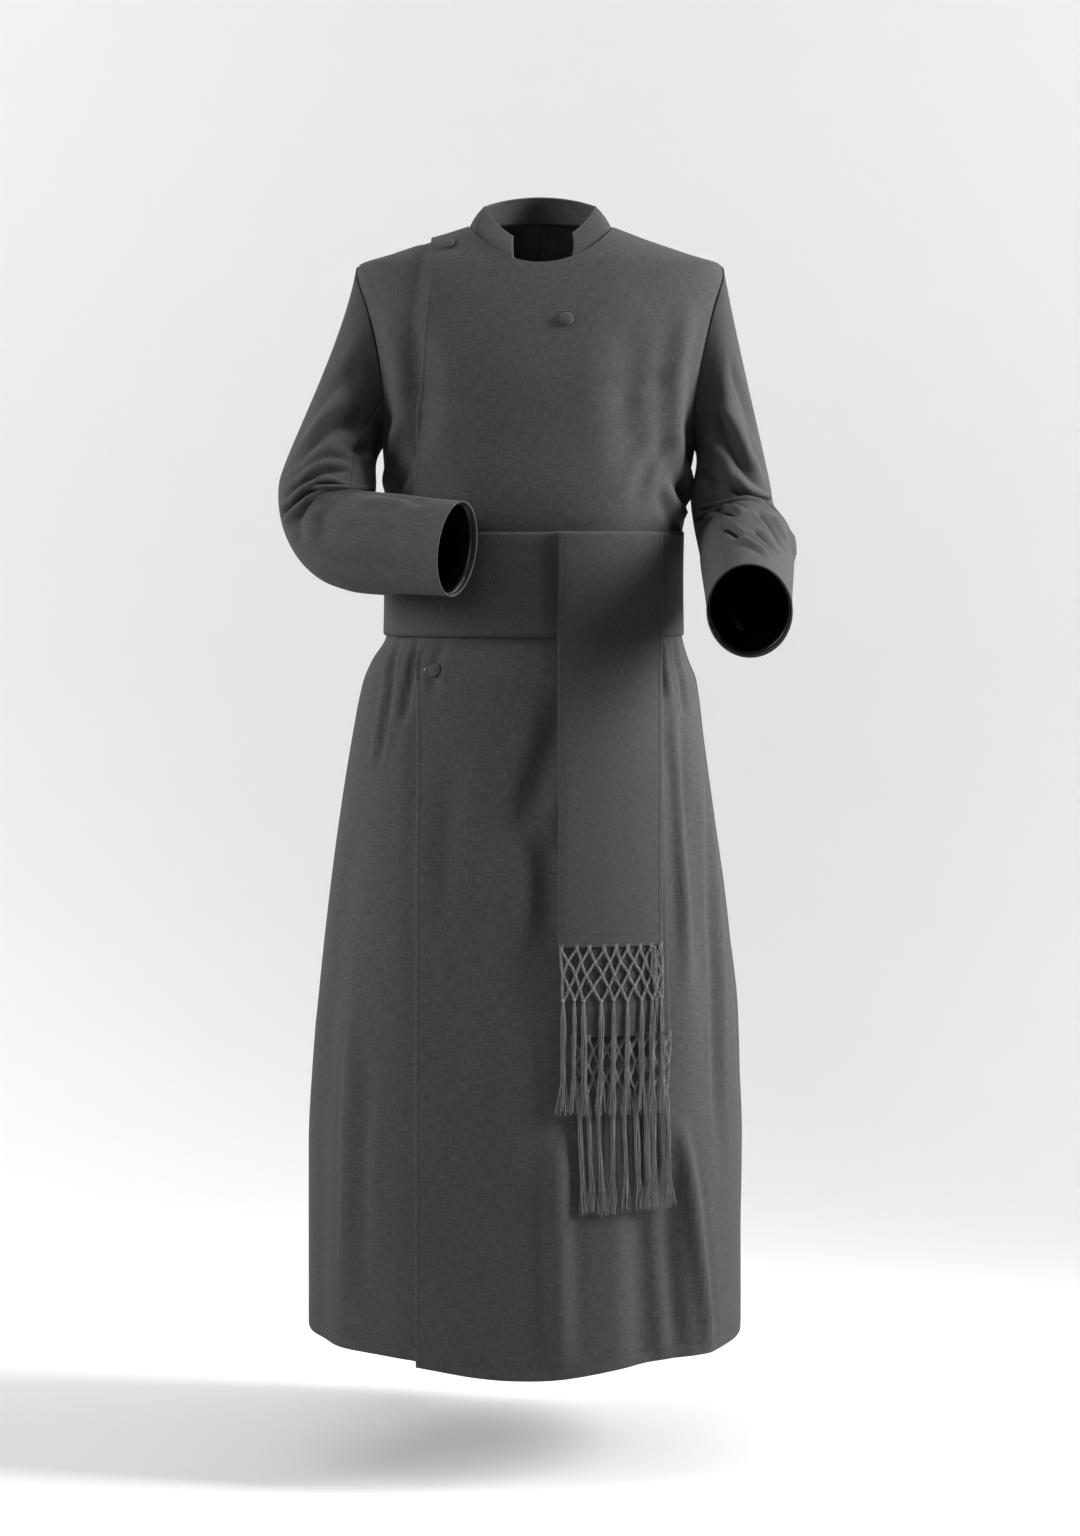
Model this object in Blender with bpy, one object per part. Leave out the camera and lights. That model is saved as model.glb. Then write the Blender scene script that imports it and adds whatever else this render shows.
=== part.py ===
"""Charcoal double-breasted cassock with its fringed cincture, held in the form it has when worn.

Metres, +Z up, front towards -Y, the wearer's left towards +X. The origin is the centre of the
neck base, level with the two points where the shoulder seams meet the collar.
Angles run round the garment from the centre front (0) through the wearer's left (90) to the
centre back (180); the wearer's right side is -90.
"""
import math

import bmesh
import bpy
import numpy as np
from mathutils import Matrix, Vector

# Driving dimensions
CLOTH = 0.0018
LINING = 0.0010
SEAM_GAP = 0.0003
ARMHOLE_GAP = 0.0007
NECK_HALF_WIDTH = 0.092
NECK_SIDE_Z = 0.0
NECK_FRONT_Z = -0.050
NECK_BACK_Z = 0.012
NECK_POWER = 1.6
SHOULDER_Z = -0.048
UNDERARM_Z = -0.275
ARMHOLE_FRONT_ANGLE = 20.0
ARMHOLE_BACK_ANGLE = 18.0
HEM_Z = -1.390
HEM_FRONT_DROP = 0.016
HEM_FRONT_SPREAD = 22.0
UNDERLAP_HEM_LIFT = 0.006
SECTION_POWER = 0.88
# Steps in degrees and height over which the form's normal is measured
NORMAL_STEPS = (0.6, 0.002)

# The overlap lies on the underlap and comes down onto the single cloth before the left side
OVERLAP_LIFT = CLOTH + 0.0004
OVERLAP_BLEND = (0.080, 0.145)
OVERLAP_TOP_X = -0.136
UNDERLAP_TURN = 30
OVERLAP_EDGE = (("z", "x"),
                (-1.420, -0.149),
                (-1.100, -0.150),
                (-0.600, -0.151),
                (-0.300, -0.1535),
                (-0.120, -0.153),
                (-0.065, -0.147),
                (-0.015, -0.136))

# Garment sections: the two sides, and how far the front and the back stand from the side line
SECTIONS = (("z", "right", "left", "front", "back"),
            (0.016, -0.050, 0.050, 0.044, 0.062),
            (0.000, -0.092, 0.092, 0.060, 0.074),
            (-0.016, -0.139, 0.139, 0.070, 0.083),
            (-0.032, -0.186, 0.186, 0.078, 0.091),
            (-0.048, -0.231, 0.231, 0.086, 0.099),
            (-0.062, -0.235, 0.235, 0.092, 0.103),
            (-0.100, -0.228, 0.229, 0.106, 0.112),
            (-0.150, -0.219, 0.220, 0.120, 0.117),
            (-0.200, -0.210, 0.209, 0.130, 0.118),
            (-0.275, -0.200, 0.196, 0.137, 0.115),
            (-0.330, -0.197, 0.187, 0.141, 0.110),
            (-0.365, -0.197, 0.183, 0.138, 0.106),
            (-0.388, -0.194, 0.179, 0.133, 0.103),
            (-0.450, -0.194, 0.178, 0.133, 0.105),
            (-0.515, -0.195, 0.179, 0.136, 0.117),
            (-0.547, -0.213, 0.187, 0.145, 0.131),
            (-0.573, -0.224, 0.197, 0.152, 0.144),
            (-0.649, -0.239, 0.207, 0.165, 0.170),
            (-0.751, -0.255, 0.221, 0.176, 0.195),
            (-0.852, -0.268, 0.235, 0.187, 0.210),
            (-0.954, -0.279, 0.245, 0.197, 0.220),
            (-1.055, -0.288, 0.250, 0.206, 0.228),
            (-1.157, -0.293, 0.254, 0.213, 0.233),
            (-1.420, -0.293, 0.254, 0.226, 0.241))

# Skirt folds: centre angle at the top and bottom, half width in degrees, reach, height off the cloth
FOLDS = (("top_angle", "bottom_angle", "half_width", "z_top", "z_bottom", "height"),
         (6, -8, 8, -0.60, -0.84, -0.0045),
         (3, 1, 8, -0.82, -1.05, -0.0045),
         (4, 6, 9, -1.05, -1.50, 0.0040),
         (44, 47, 9, -0.58, -1.10, 0.0045),
         (56, 60, 8, -0.60, -1.20, -0.0055),
         (43, 54, 9, -1.08, -1.50, 0.0080),
         (33, 34, 9, -1.15, -1.50, -0.0070),
         (-50, -52, 9, -0.90, -1.50, 0.0045),
         (-62, -66, 8, -0.70, -1.50, -0.0040),
         (-36, -24, 8, -0.56, -0.80, -0.0035),
         (112, 116, 10, -0.60, -1.50, -0.0070),
         (132, 134, 10, -0.64, -1.50, 0.0080),
         (155, 152, 10, -0.60, -1.50, -0.0075),
         (-112, -110, 10, -0.62, -1.50, -0.0075),
         (-134, -131, 10, -0.60, -1.50, 0.0080),
         (-156, -158, 10, -0.66, -1.50, -0.0070))
FOLD_FADE = 0.12

# Grid of a body panel
SKIRT_STEPS = 12
WAIST_LEVELS = (-0.547, -0.515, -0.450, -0.385, -0.345, -0.310)
# Bodice rows: the turn on the armhole, and the share of the way up inside the panel
BODICE_ROWS = (("turn", "share"),
               (150, 0.18),
               (120, 0.36),
               (90, 0.53),
               (60, 0.70),
               (30, 0.85),
               (15, 0.93),
               (7.5, 0.975),
               (0, 1.0))
ARMHOLE_STEP = 30
ARMHOLE_TOP_STEP = 15
SHOULDER_STEPS = 5
RIGHT_SHOULDER_STEPS = 3
NECK_STEP = 15

# Collar: a stiff standing band with a square opening at the throat
COLLAR_WALL = 0.0025
COLLAR_TOP_HALF_WIDTH = 0.070
COLLAR_TOP_FRONT_Y = -0.062
COLLAR_TOP_BACK_Y = 0.052
COLLAR_TOP_Z = (-0.023, 0.030, 0.046)
COLLAR_NOTCH = (-0.033, 0.040)
COLLAR_SEAM_INSET = 0.0022
COLLAR_SEAM_RISE = 0.0010
COLLAR_SIDE_SHARE = 0.2
COLLAR_HEIGHTS = (0.0, 0.5, 1.0)

# Sleeves
SLEEVE_STEPS = 24
SLEEVE_UNDER_STEPS = 8
CAP_STEPS = 7
ELBOW_STEPS = 5
FOREARM_STEPS = 4
SLEEVE_CREASE_RADIUS = 0.006
SLEEVE_RADIUS = 0.055
# How a sleeve leaves the armhole below and over its top: along the panel's normal, outwards and
# down, and how far above the elbow its run turns into the upper arm's own slope
CAP_LEAVE = {"normal": 0.55, "out": 0.10, "down": 0.85, "arrive": 1.0}
CAP_TOP_LEAVE = {"normal": 0.15, "out": 0.0, "down": 0.85, "arrive": 0.3}
# Where the lining starts and ends along the forearm
LINING_REACH = (0.08, 0.97)
SLEEVES = {
    "right": {"side": -1, "upper_end": (-0.2660, -0.066, -0.331), "upper_slope": (-0.10, -0.15, -1.0),
              "upper_half": (0.0595, 0.0590), "bend": 86.0, "elbow_half": (0.0610, 0.0510),
              "elbow_shift": 0.0, "cuff": (-0.100, -0.206, -0.4055), "cuff_half": (0.0570, 0.0360)},
    "left": {"side": 1, "upper_end": (0.2420, -0.020, -0.345), "upper_slope": (0.08, -0.05, -1.0),
             "upper_half": (0.0620, 0.0500), "bend": 66.0, "elbow_half": (0.0640, 0.0575),
             "elbow_shift": -0.012, "cuff": (0.251, -0.240, -0.480), "cuff_half": (0.0600, 0.0500)},
}

# Cincture
BAND_TOP_Z = -0.384
BAND_BOTTOM_Z = -0.515
BAND_WALL = 0.0022
BAND_STEPS = 36
BAND_EASE = 0.0014
BAND_PAST_EDGE = 0.03
TAIL_WALL = 0.0015
TAIL_EASE = 0.0005
TAIL_STEPS = 6
TAIL_ABOVE_BAND = 0.001
TAIL_ROW_SPACE = 0.015
TAILS = {
    "rear": {"top": (0.016, 0.140), "bottom": (0.035, 0.155), "hem_z": -0.997, "layer": 0},
    "front": {"top": (0.021, 0.145), "bottom": (0.021, 0.145), "hem_z": -0.890, "layer": 1},
}
TAIL_LAYER = TAIL_WALL + 0.0012

# Knotted fringe: a lattice of cords, then a tassel under each lowest knot
FRINGE_WALL = 0.0013
FRINGE_SET_IN = 0.0001
FRINGE_HEAD = 0.004
FRINGE_END_SHARE = 0.3
FIRST_KNOT_DROP = 0.004
KNOTS = 9
KNOT_ROWS = 4
KNOT_ROW_DROP = 0.0145
KNOT_HALF = (0.0019, 0.0026)
TASSEL_STRANDS = 4
STRAND_WIDTH = 0.0020
STRAND_GAP = 0.0008
TASSEL_HEAD = 0.008
TASSEL_LENGTH = 0.122
TASSEL_FLARE = 1.35
TASSEL_UNEVEN = 0.006

# Buttons: the x and height of each on the front, and the shares of height and radius of a side
BUTTON_RADIUS = 0.0092
BUTTON_HEIGHT = 0.0042
BUTTON_GAP = 0.0004
BUTTON_SIDES = 14
BUTTON_PROFILE = ((0.0, 0.80), (0.0, 1.0), (0.45, 0.96), (0.80, 0.62))
BUTTONS = {"shoulder": (-0.1145, -0.0270), "chest": (0.0325, -0.123), "hip": (-0.1295, -0.556)}

# Materials: colour and roughness
LOOKS = {"cloth": ((0.050, 0.050, 0.053, 1.0), 0.85),
         "satin": ((0.008, 0.008, 0.009, 1.0), 0.30),
         "cincture": ((0.046, 0.046, 0.049, 1.0), 0.75),
         "fringe": ((0.055, 0.055, 0.058, 1.0), 0.60)}
SHARP_ANGLE = 40


def column(table, name):
    """Return one named column of a table whose first row holds the names."""
    place = table[0].index(name)
    return [row[place] for row in table[1:]]


def smooth_profile(table, key, name):
    """Return a function through a table's column that never swings past its rows."""
    pairs = sorted(zip(column(table, key), column(table, name)))
    at = np.array([pair[0] for pair in pairs])
    value = np.array([pair[1] for pair in pairs])
    step = np.diff(at)
    slope = np.diff(value) / step
    tangent = np.zeros(len(at))
    tangent[0], tangent[-1] = slope[0], slope[-1]
    for i in range(1, len(at) - 1):
        if slope[i - 1] * slope[i] > 0:
            tangent[i] = 2 * slope[i - 1] * slope[i] / (slope[i - 1] + slope[i])

    def profile(z):
        z = min(max(z, at[0]), at[-1])
        i = min(int(np.searchsorted(at, z, side="right")) - 1, len(step) - 1)
        t = (z - at[i]) / step[i]
        rise = t * t * (3 - 2 * t)
        return (value[i] + (value[i + 1] - value[i]) * rise
                + step[i] * (tangent[i] * t * (1 - t) ** 2 - tangent[i + 1] * t * t * (1 - t)))

    return profile


SECTION = {name: smooth_profile(SECTIONS, "z", name) for name in SECTIONS[0][1:]}
EDGE_X = smooth_profile(OVERLAP_EDGE, "z", "x")


def mix(a, b, t):
    """Blend two numbers or vectors."""
    return a + (b - a) * t


def ease(t):
    """Ease from 0 to 1 as t does."""
    t = min(max(t, 0.0), 1.0)
    return t * t * (3 - 2 * t)


def bare_point(angle, z):
    """Return the point of the plain garment form at an angle and a height."""
    right, left = SECTION["right"](z), SECTION["left"](z)
    s, c = math.sin(math.radians(angle)), math.cos(math.radians(angle))
    x = (left + right) / 2 + (left - right) / 2 * math.copysign(abs(s) ** SECTION_POWER, s)
    depth = -SECTION["front"](z) if c >= 0 else SECTION["back"](z)
    return Vector((x, depth * abs(c) ** SECTION_POWER, z))


def outward(angle, z):
    """Return the form's outward normal."""
    turn, climb = NORMAL_STEPS
    highest = SECTIONS[1][0]
    across = bare_point(angle + turn, z) - bare_point(angle - turn, z)
    rise = bare_point(angle, min(z + climb, highest)) - bare_point(angle, z - climb)
    return across.cross(rise).normalized()


def fold_height(angle, z):
    """Return how far the folds lift the cloth."""
    total = 0.0
    for top_angle, bottom_angle, half_width, z_top, z_bottom, height in FOLDS[1:]:
        along = (z_top - z) / (z_top - z_bottom)
        if not 0 < along < 1:
            continue
        fade = ease((z_top - z) / FOLD_FADE) * ease((z - z_bottom) / FOLD_FADE)
        off = (angle - mix(top_angle, bottom_angle, along)) / half_width
        total += height * fade * math.exp(-off * off)
    return total


def angle_at(x, z, back=False):
    """Return the angle of the point that stands at x on the front or the back."""
    right, left = SECTION["right"](z), SECTION["left"](z)
    q = (x - (left + right) / 2) / ((left - right) / 2)
    q = min(max(q, -1.0), 1.0)
    angle = math.degrees(math.asin(abs(q) ** (1 / SECTION_POWER)))
    if back:
        angle = 180 - angle
    return math.copysign(angle, q)


def cloth_point(angle, z, lift=0.0):
    """Return a point on the folded garment, lifted off its outer side."""
    return bare_point(angle, z) + outward(angle, z) * (fold_height(angle, z) + lift)


def overlap_lift(x):
    """Return how far the overlap stands off the form at x."""
    start, end = OVERLAP_BLEND
    return OVERLAP_LIFT * (1 - ease((x - start) / (end - start)))


def hem_z(angle):
    """Return the hem's height at an angle."""
    return HEM_Z - HEM_FRONT_DROP * math.exp(-(angle / HEM_FRONT_SPREAD) ** 2)


def neck_z(x, back=False):
    """Return the height of the neckline at x."""
    across = math.sqrt(max(0.0, 1 - (x / NECK_HALF_WIDTH) ** 2))
    end = NECK_BACK_Z if back else NECK_FRONT_Z
    return mix(NECK_SIDE_Z, end, across ** NECK_POWER)


def shoulder_z(x):
    """Return the height of the shoulder seam at x."""
    low, high = SHOULDER_Z, NECK_SIDE_Z
    for _ in range(30):
        middle = (low + high) / 2
        if SECTION["left"](middle) > abs(x):
            low = middle
        else:
            high = middle
    return low


def top_line_z(x, back=False):
    """Return the height of the top edge, neckline and shoulder seams, at x."""
    return neck_z(x, back) if abs(x) <= NECK_HALF_WIDTH else shoulder_z(x)


def armhole_at(side, turn):
    """Return angle and height on the armhole; turn 0 is its top, 90 its front, 180 the underarm."""
    t = math.radians(turn)
    middle, half = (SHOULDER_Z + UNDERARM_Z) / 2, (SHOULDER_Z - UNDERARM_Z) / 2
    width = ARMHOLE_FRONT_ANGLE if math.sin(t) > 0 else ARMHOLE_BACK_ANGLE
    return side * (90 - width * math.sin(t)), middle + half * math.cos(t)


def armhole_seam(side, turn):
    """Return a point on a sleeve's seam, just inside the armhole and clear of the panel's edge.

    The seam keeps to the straight runs between the panels' own points on the armhole.
    """
    turn %= 360
    near_top = min(turn, 360 - turn) < ARMHOLE_STEP
    step = ARMHOLE_TOP_STEP if near_top else ARMHOLE_STEP
    first = math.floor(turn / step) * step
    ends = [bare_point(*armhole_at(side, first)), bare_point(*armhole_at(side, first + step))]
    point = mix(ends[0], ends[1], (turn - first) / step)
    normal = outward(*armhole_at(side, turn))
    inside = bare_point(side * 90, (SHOULDER_Z + UNDERARM_Z) / 2) - point
    inside = (inside - normal * inside.dot(normal)).normalized()
    return point + normal * ARMHOLE_GAP + inside * ARMHOLE_GAP, normal


def make_wall(name, outer, inner, faces, look, smooth=True):
    """Make one closed solid from the outer and inner points of the same faces."""
    count = len(outer)
    open_edges = {}
    for face in faces:
        for a, b in zip(face, face[1:] + face[:1]):
            key = (min(a, b), max(a, b))
            open_edges[key] = None if key in open_edges else (a, b)
    solid = [list(face) for face in faces]
    solid += [[i + count for i in reversed(face)] for face in faces]
    for pair in open_edges.values():
        if pair:
            a, b = pair
            solid.append([b, a, a + count, b + count])
    mesh = bpy.data.meshes.new(name)
    mesh.from_pydata([tuple(p) for p in outer + inner], [], solid)
    shaped = bmesh.new()
    shaped.from_mesh(mesh)
    bmesh.ops.recalc_face_normals(shaped, faces=shaped.faces)
    shaped.to_mesh(mesh)
    shaped.free()
    return add_object(name, mesh, look, smooth)


def add_object(name, mesh, look, smooth=True):
    """Put a mesh in the scene with its material."""
    colour, roughness = LOOKS[look]
    material = bpy.data.materials.new(name)
    material.use_nodes = True
    shader = material.node_tree.nodes["Principled BSDF"]
    shader.inputs["Base Color"].default_value = colour
    shader.inputs["Roughness"].default_value = roughness
    mesh.materials.append(material)
    if smooth:
        mesh.shade_smooth()
        mesh.set_sharp_from_angle(angle=math.radians(SHARP_ANGLE))
    thing = bpy.data.objects.new(name, mesh)
    bpy.context.collection.objects.link(thing)
    return thing


def grid_faces(rows, columns, closed=False):
    """Return the triangles of a grid of points kept row by row; a closed one joins its ends.

    Every square is cut along the same diagonal, so that walls that lie on each other match.
    """
    faces = []
    for r in range(rows - 1):
        for c in range(columns if closed else columns - 1):
            d = (c + 1) % columns
            low, low_next = r * columns + c, r * columns + d
            high, high_next = low + columns, low_next + columns
            faces.append([low, low_next, high_next])
            faces.append([low, high_next, high])
    return faces


def body_levels():
    """Return the heights of the body panels' rows from the hem to the underarm."""
    skirt = [mix(HEM_Z, WAIST_LEVELS[0], i / SKIRT_STEPS) for i in range(SKIRT_STEPS)]
    return skirt + list(WAIST_LEVELS) + [UNDERARM_Z]


def strip_grid(low_edge, high_edge, top_xs, back=False):
    """Return rows of (angle, height) over a strip of a body panel, from the hem to the top line.

    low_edge and high_edge each hold "angle", the edge's angle at a height below the underarm, and
    "rise", its (x, z) at a row of the bodice above it. top_xs are the x of its columns' ends on
    the top line.
    """
    steps = len(top_xs) - 1
    shares = [i / steps for i in range(steps + 1)]
    rows = []
    for level in body_levels():
        near_hem = ease((WAIST_LEVELS[0] - level) / (WAIST_LEVELS[0] - HEM_Z))
        row = []
        for share in shares:
            angle = mix(low_edge["angle"](level), high_edge["angle"](level), share)
            row.append((angle, level + near_hem * (hem_z(angle) - HEM_Z)))
        rows.append(row)
    bottom = [np.array((bare_point(angle, UNDERARM_Z).x, UNDERARM_Z)) for angle, _ in rows[-1]]
    top = [np.array((x, top_line_z(x, back))) for x in top_xs]
    for turn, rise in BODICE_ROWS[1:]:
        low, high = np.array(low_edge["rise"](turn, rise)), np.array(high_edge["rise"](turn, rise))
        row = []
        for i, share in enumerate(shares):
            corners = mix(mix(bottom[0], bottom[-1], share), mix(top[0], top[-1], share), rise)
            x, z = mix(bottom[i], top[i], rise) + mix(low, high, share) - corners
            row.append((angle_at(x, z, back), z))
        rows.append(row)
    return rows


def join_strips(first, second):
    """Join two strips side by side into one panel's rows."""
    return [a + b[1:] for a, b in zip(first, second)]


def neck_xs(first_turn, last_turn):
    """Return x at each step of the neckline between two turns round the neck."""
    steps = round(abs(last_turn - first_turn) / NECK_STEP)
    turns = [mix(first_turn, last_turn, i / steps) for i in range(steps + 1)]
    return [NECK_HALF_WIDTH * math.sin(math.radians(turn)) for turn in turns]


def spread(first, last, steps):
    """Return evenly spaced numbers from first to last."""
    return [mix(first, last, i / steps) for i in range(steps + 1)]


def side_edge(side, back=False):
    """Return the edge of a panel along the side seam and the armhole."""
    def rise(turn, share):
        angle, z = armhole_at(side, -turn if back else turn)
        return bare_point(angle, z).x, z
    return {"angle": lambda z: side * 90.0, "rise": rise}


def front_edge(edge_x, top_x):
    """Return the free or hidden edge of a front, whose x is a function of height."""
    top_z = top_line_z(top_x)

    def rise(turn, share):
        z = mix(UNDERARM_Z, top_z, share)
        return mix(edge_x(z), top_x, ease(share)), z
    return {"angle": lambda z: angle_at(edge_x(z), z), "rise": rise}


def back_edge(side):
    """Return the centre-back edge."""
    def rise(turn, share):
        return 0.0, mix(UNDERARM_Z, NECK_BACK_Z, share)
    return {"angle": lambda z: side * 180.0, "rise": rise}


def make_panel(name, rows, lift, shift):
    """Make a body panel; lift gives its outer side's height off the form at x, shift parts its seams."""
    outer, inner = [], []
    for row in rows:
        for angle, z in row:
            up = lift(bare_point(angle, z).x)
            outer.append(cloth_point(angle, z, up) + shift)
            inner.append(cloth_point(angle, z, up - CLOTH) + shift)
    make_wall(name, outer, inner, grid_faces(len(rows), len(rows[0])), "cloth")


def make_body():
    """Make the two fronts and the two halves of the back.

    The fronts share the points of the strip in which one lies on the other.
    """
    part = SEAM_GAP / 2
    tip = SECTION["left"](SHOULDER_Z)
    shoulder = spread(NECK_HALF_WIDTH, tip, SHOULDER_STEPS)
    free_edge = front_edge(EDGE_X, OVERLAP_TOP_X)
    hidden_x = NECK_HALF_WIDTH * math.sin(math.radians(UNDERLAP_TURN))
    hidden_edge = front_edge(lambda z: hidden_x, hidden_x)
    single_top = spread(-tip, OVERLAP_TOP_X, RIGHT_SHOULDER_STEPS)
    single = strip_grid(side_edge(-1), free_edge, single_top)
    doubled_top = spread(OVERLAP_TOP_X, -NECK_HALF_WIDTH, 2) + neck_xs(-90, UNDERLAP_TURN)[1:]
    doubled = strip_grid(free_edge, hidden_edge, doubled_top)
    beyond = strip_grid(hidden_edge, side_edge(1), neck_xs(UNDERLAP_TURN, 90) + shoulder[1:])
    make_panel("front_left", join_strips(doubled, beyond), overlap_lift, Vector((0, -part, 0)))
    underlap = join_strips(single, doubled)
    underlap[0] = [(angle, z + UNDERLAP_HEM_LIFT) for angle, z in underlap[0]]
    make_panel("front_right", underlap, lambda x: 0.0, Vector((0, -part, 0)))
    for name, side in (("back_left", 1), ("back_right", -1)):
        top = [side * x for x in reversed(neck_xs(90, 0))] + [side * x for x in shoulder[1:]]
        rows = strip_grid(back_edge(side), side_edge(side, back=True), top, back=True)
        make_panel(name, rows, lambda x: 0.0, Vector((side * part, part, 0)))


def collar_point(turn, height):
    """Return a point of the collar's outer side; turn 0 is the front, height 0 the seam, 1 the top."""
    t = math.radians(turn)
    s, c = math.sin(t), math.cos(t)
    x = (NECK_HALF_WIDTH - COLLAR_SEAM_INSET) * s
    z = neck_z(x, back=c < 0)
    foot = bare_point(angle_at(x, z, back=c < 0), z)
    foot.y -= math.copysign(COLLAR_SEAM_INSET, foot.y) if abs(c) > COLLAR_SIDE_SHARE else 0.0
    foot.z += COLLAR_SEAM_RISE
    front_z, side_z, back_z = COLLAR_TOP_Z
    top_y = COLLAR_TOP_FRONT_Y if c > 0 else -COLLAR_TOP_BACK_Y
    top_z = mix(side_z, front_z if c > 0 else back_z, abs(c) ** NECK_POWER)
    return mix(foot, Vector((COLLAR_TOP_HALF_WIDTH * s, top_y * c, top_z)), height)


def make_collar():
    """Make the standing collar, open at the throat."""
    ends = []
    for half_width in (NECK_HALF_WIDTH, COLLAR_TOP_HALF_WIDTH):
        ends.append([math.degrees(math.asin(x / half_width)) for x in COLLAR_NOTCH])
    between = list(range(2 * NECK_STEP, 360 - NECK_STEP, NECK_STEP))
    grid = []
    for height in COLLAR_HEIGHTS:
        first, last = ends[0][1], 360 + ends[0][0]
        top_first = mix(first, ends[1][1], height)
        top_last = mix(last, 360 + ends[1][0], height)
        turns = [mix(top_first, top_last, (turn - first) / (last - first)) for turn in between]
        grid.append([collar_point(turn, height) for turn in [top_first] + turns + [top_last]])
    outer, inner = moved_in(grid, COLLAR_WALL)
    make_wall("collar", outer, inner, grid_faces(len(COLLAR_HEIGHTS), len(between) + 2), "cloth")


def moved_in(grid, wall):
    """Return a grid's points and the same moved by a wall towards the garment's upright axis."""
    outer, inner = [], []
    rows, columns = len(grid), len(grid[0])
    for r in range(rows):
        for c in range(columns):
            along = grid[r][min(c + 1, columns - 1)] - grid[r][max(c - 1, 0)]
            up = grid[min(r + 1, rows - 1)][c] - grid[max(r - 1, 0)][c]
            normal = along.cross(up).normalized()
            if normal.dot(grid[r][c] * Vector((1, 1, 0))) < 0:
                normal.negate()
            outer.append(grid[r][c])
            inner.append(grid[r][c] - normal * wall)
    return outer, inner


def sleeve_frame(spec):
    """Return a sleeve's bend: its start, directions, pivot and the turn that faces the bend."""
    side = spec["side"]
    start = Vector(spec["upper_end"])
    down = Vector(spec["upper_slope"]).normalized()
    inside = Vector(spec["cuff"]) - start
    inside = (inside - down * inside.dot(down)).normalized()
    across = down.cross(inside) * side
    outside = Vector((side, 0, 0))
    outside = (outside - down * outside.dot(down)).normalized()
    front = outside.cross(down) * side
    if front.y > 0:
        front.negate()
    facing = math.atan2(inside.dot(front), inside.dot(outside))
    pivot = start + inside * (spec["upper_half"][0] + SLEEVE_CREASE_RADIUS)
    return start, down, inside, across, facing, pivot


def ring_point(middle, inside, across, half, facing, turn):
    """Return a point of an oval ring."""
    t = math.radians(turn) - facing
    return middle + inside * (half[0] * math.cos(t)) + across * (half[1] * math.sin(t))


def sleeve_rings(spec):
    """Return functions of turn for every ring of a sleeve from the armhole to the cuff."""
    side = spec["side"]
    start, down, inside, across, facing, pivot = sleeve_frame(spec)

    def cap(share):
        def point(turn):
            first, normal = armhole_seam(side, turn)
            last = ring_point(start, inside, across, spec["upper_half"], facing, turn)
            reach = (last - first).length / 3
            top = ease(math.cos(math.radians(turn)))
            cut = {name: mix(CAP_LEAVE[name], CAP_TOP_LEAVE[name], top) for name in CAP_LEAVE}
            leave = normal * cut["normal"] + Vector((side * cut["out"], 0, -cut["down"]))
            second = first + leave.normalized() * reach
            third = last - down * reach * cut["arrive"]
            return (first * (1 - share) ** 3 + second * (3 * share * (1 - share) ** 2)
                    + third * (3 * share * share * (1 - share)) + last * share ** 3)
        return point

    def bent(share):
        turned = Matrix.Rotation(math.radians(spec["bend"]) * share, 3, inside.cross(-down))
        facing_in = turned @ inside
        half = [mix(a, b, ease(share)) for a, b in zip(spec["upper_half"], spec["elbow_half"])]
        middle = pivot - facing_in * (half[0] + SLEEVE_CREASE_RADIUS)
        middle += across * (spec["elbow_shift"] * ease(share))
        return middle, facing_in, half

    def elbow(share):
        middle, facing_in, half = bent(share)
        return lambda turn: ring_point(middle, facing_in, across, half, facing, turn)

    def forearm(share):
        middle, facing_in, half = bent(1.0)
        end = Vector(spec["cuff"])
        along = (end - middle).normalized()
        facing_in = (facing_in - along * facing_in.dot(along)).normalized()
        sideways = along.cross(facing_in) * side
        sizes = [mix(a, b, ease(share)) for a, b in zip(half, spec["cuff_half"])]
        centre = mix(middle, end, share)
        return lambda turn, trim=0.0: ring_point(centre, facing_in, sideways,
                                                 [size - trim for size in sizes], facing, turn)

    rings = [cap(i / CAP_STEPS) for i in range(CAP_STEPS)]
    rings += [elbow(i / ELBOW_STEPS) for i in range(ELBOW_STEPS)]
    rings += [forearm(i / FOREARM_STEPS) for i in range(FOREARM_STEPS + 1)]
    return rings, forearm


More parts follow.
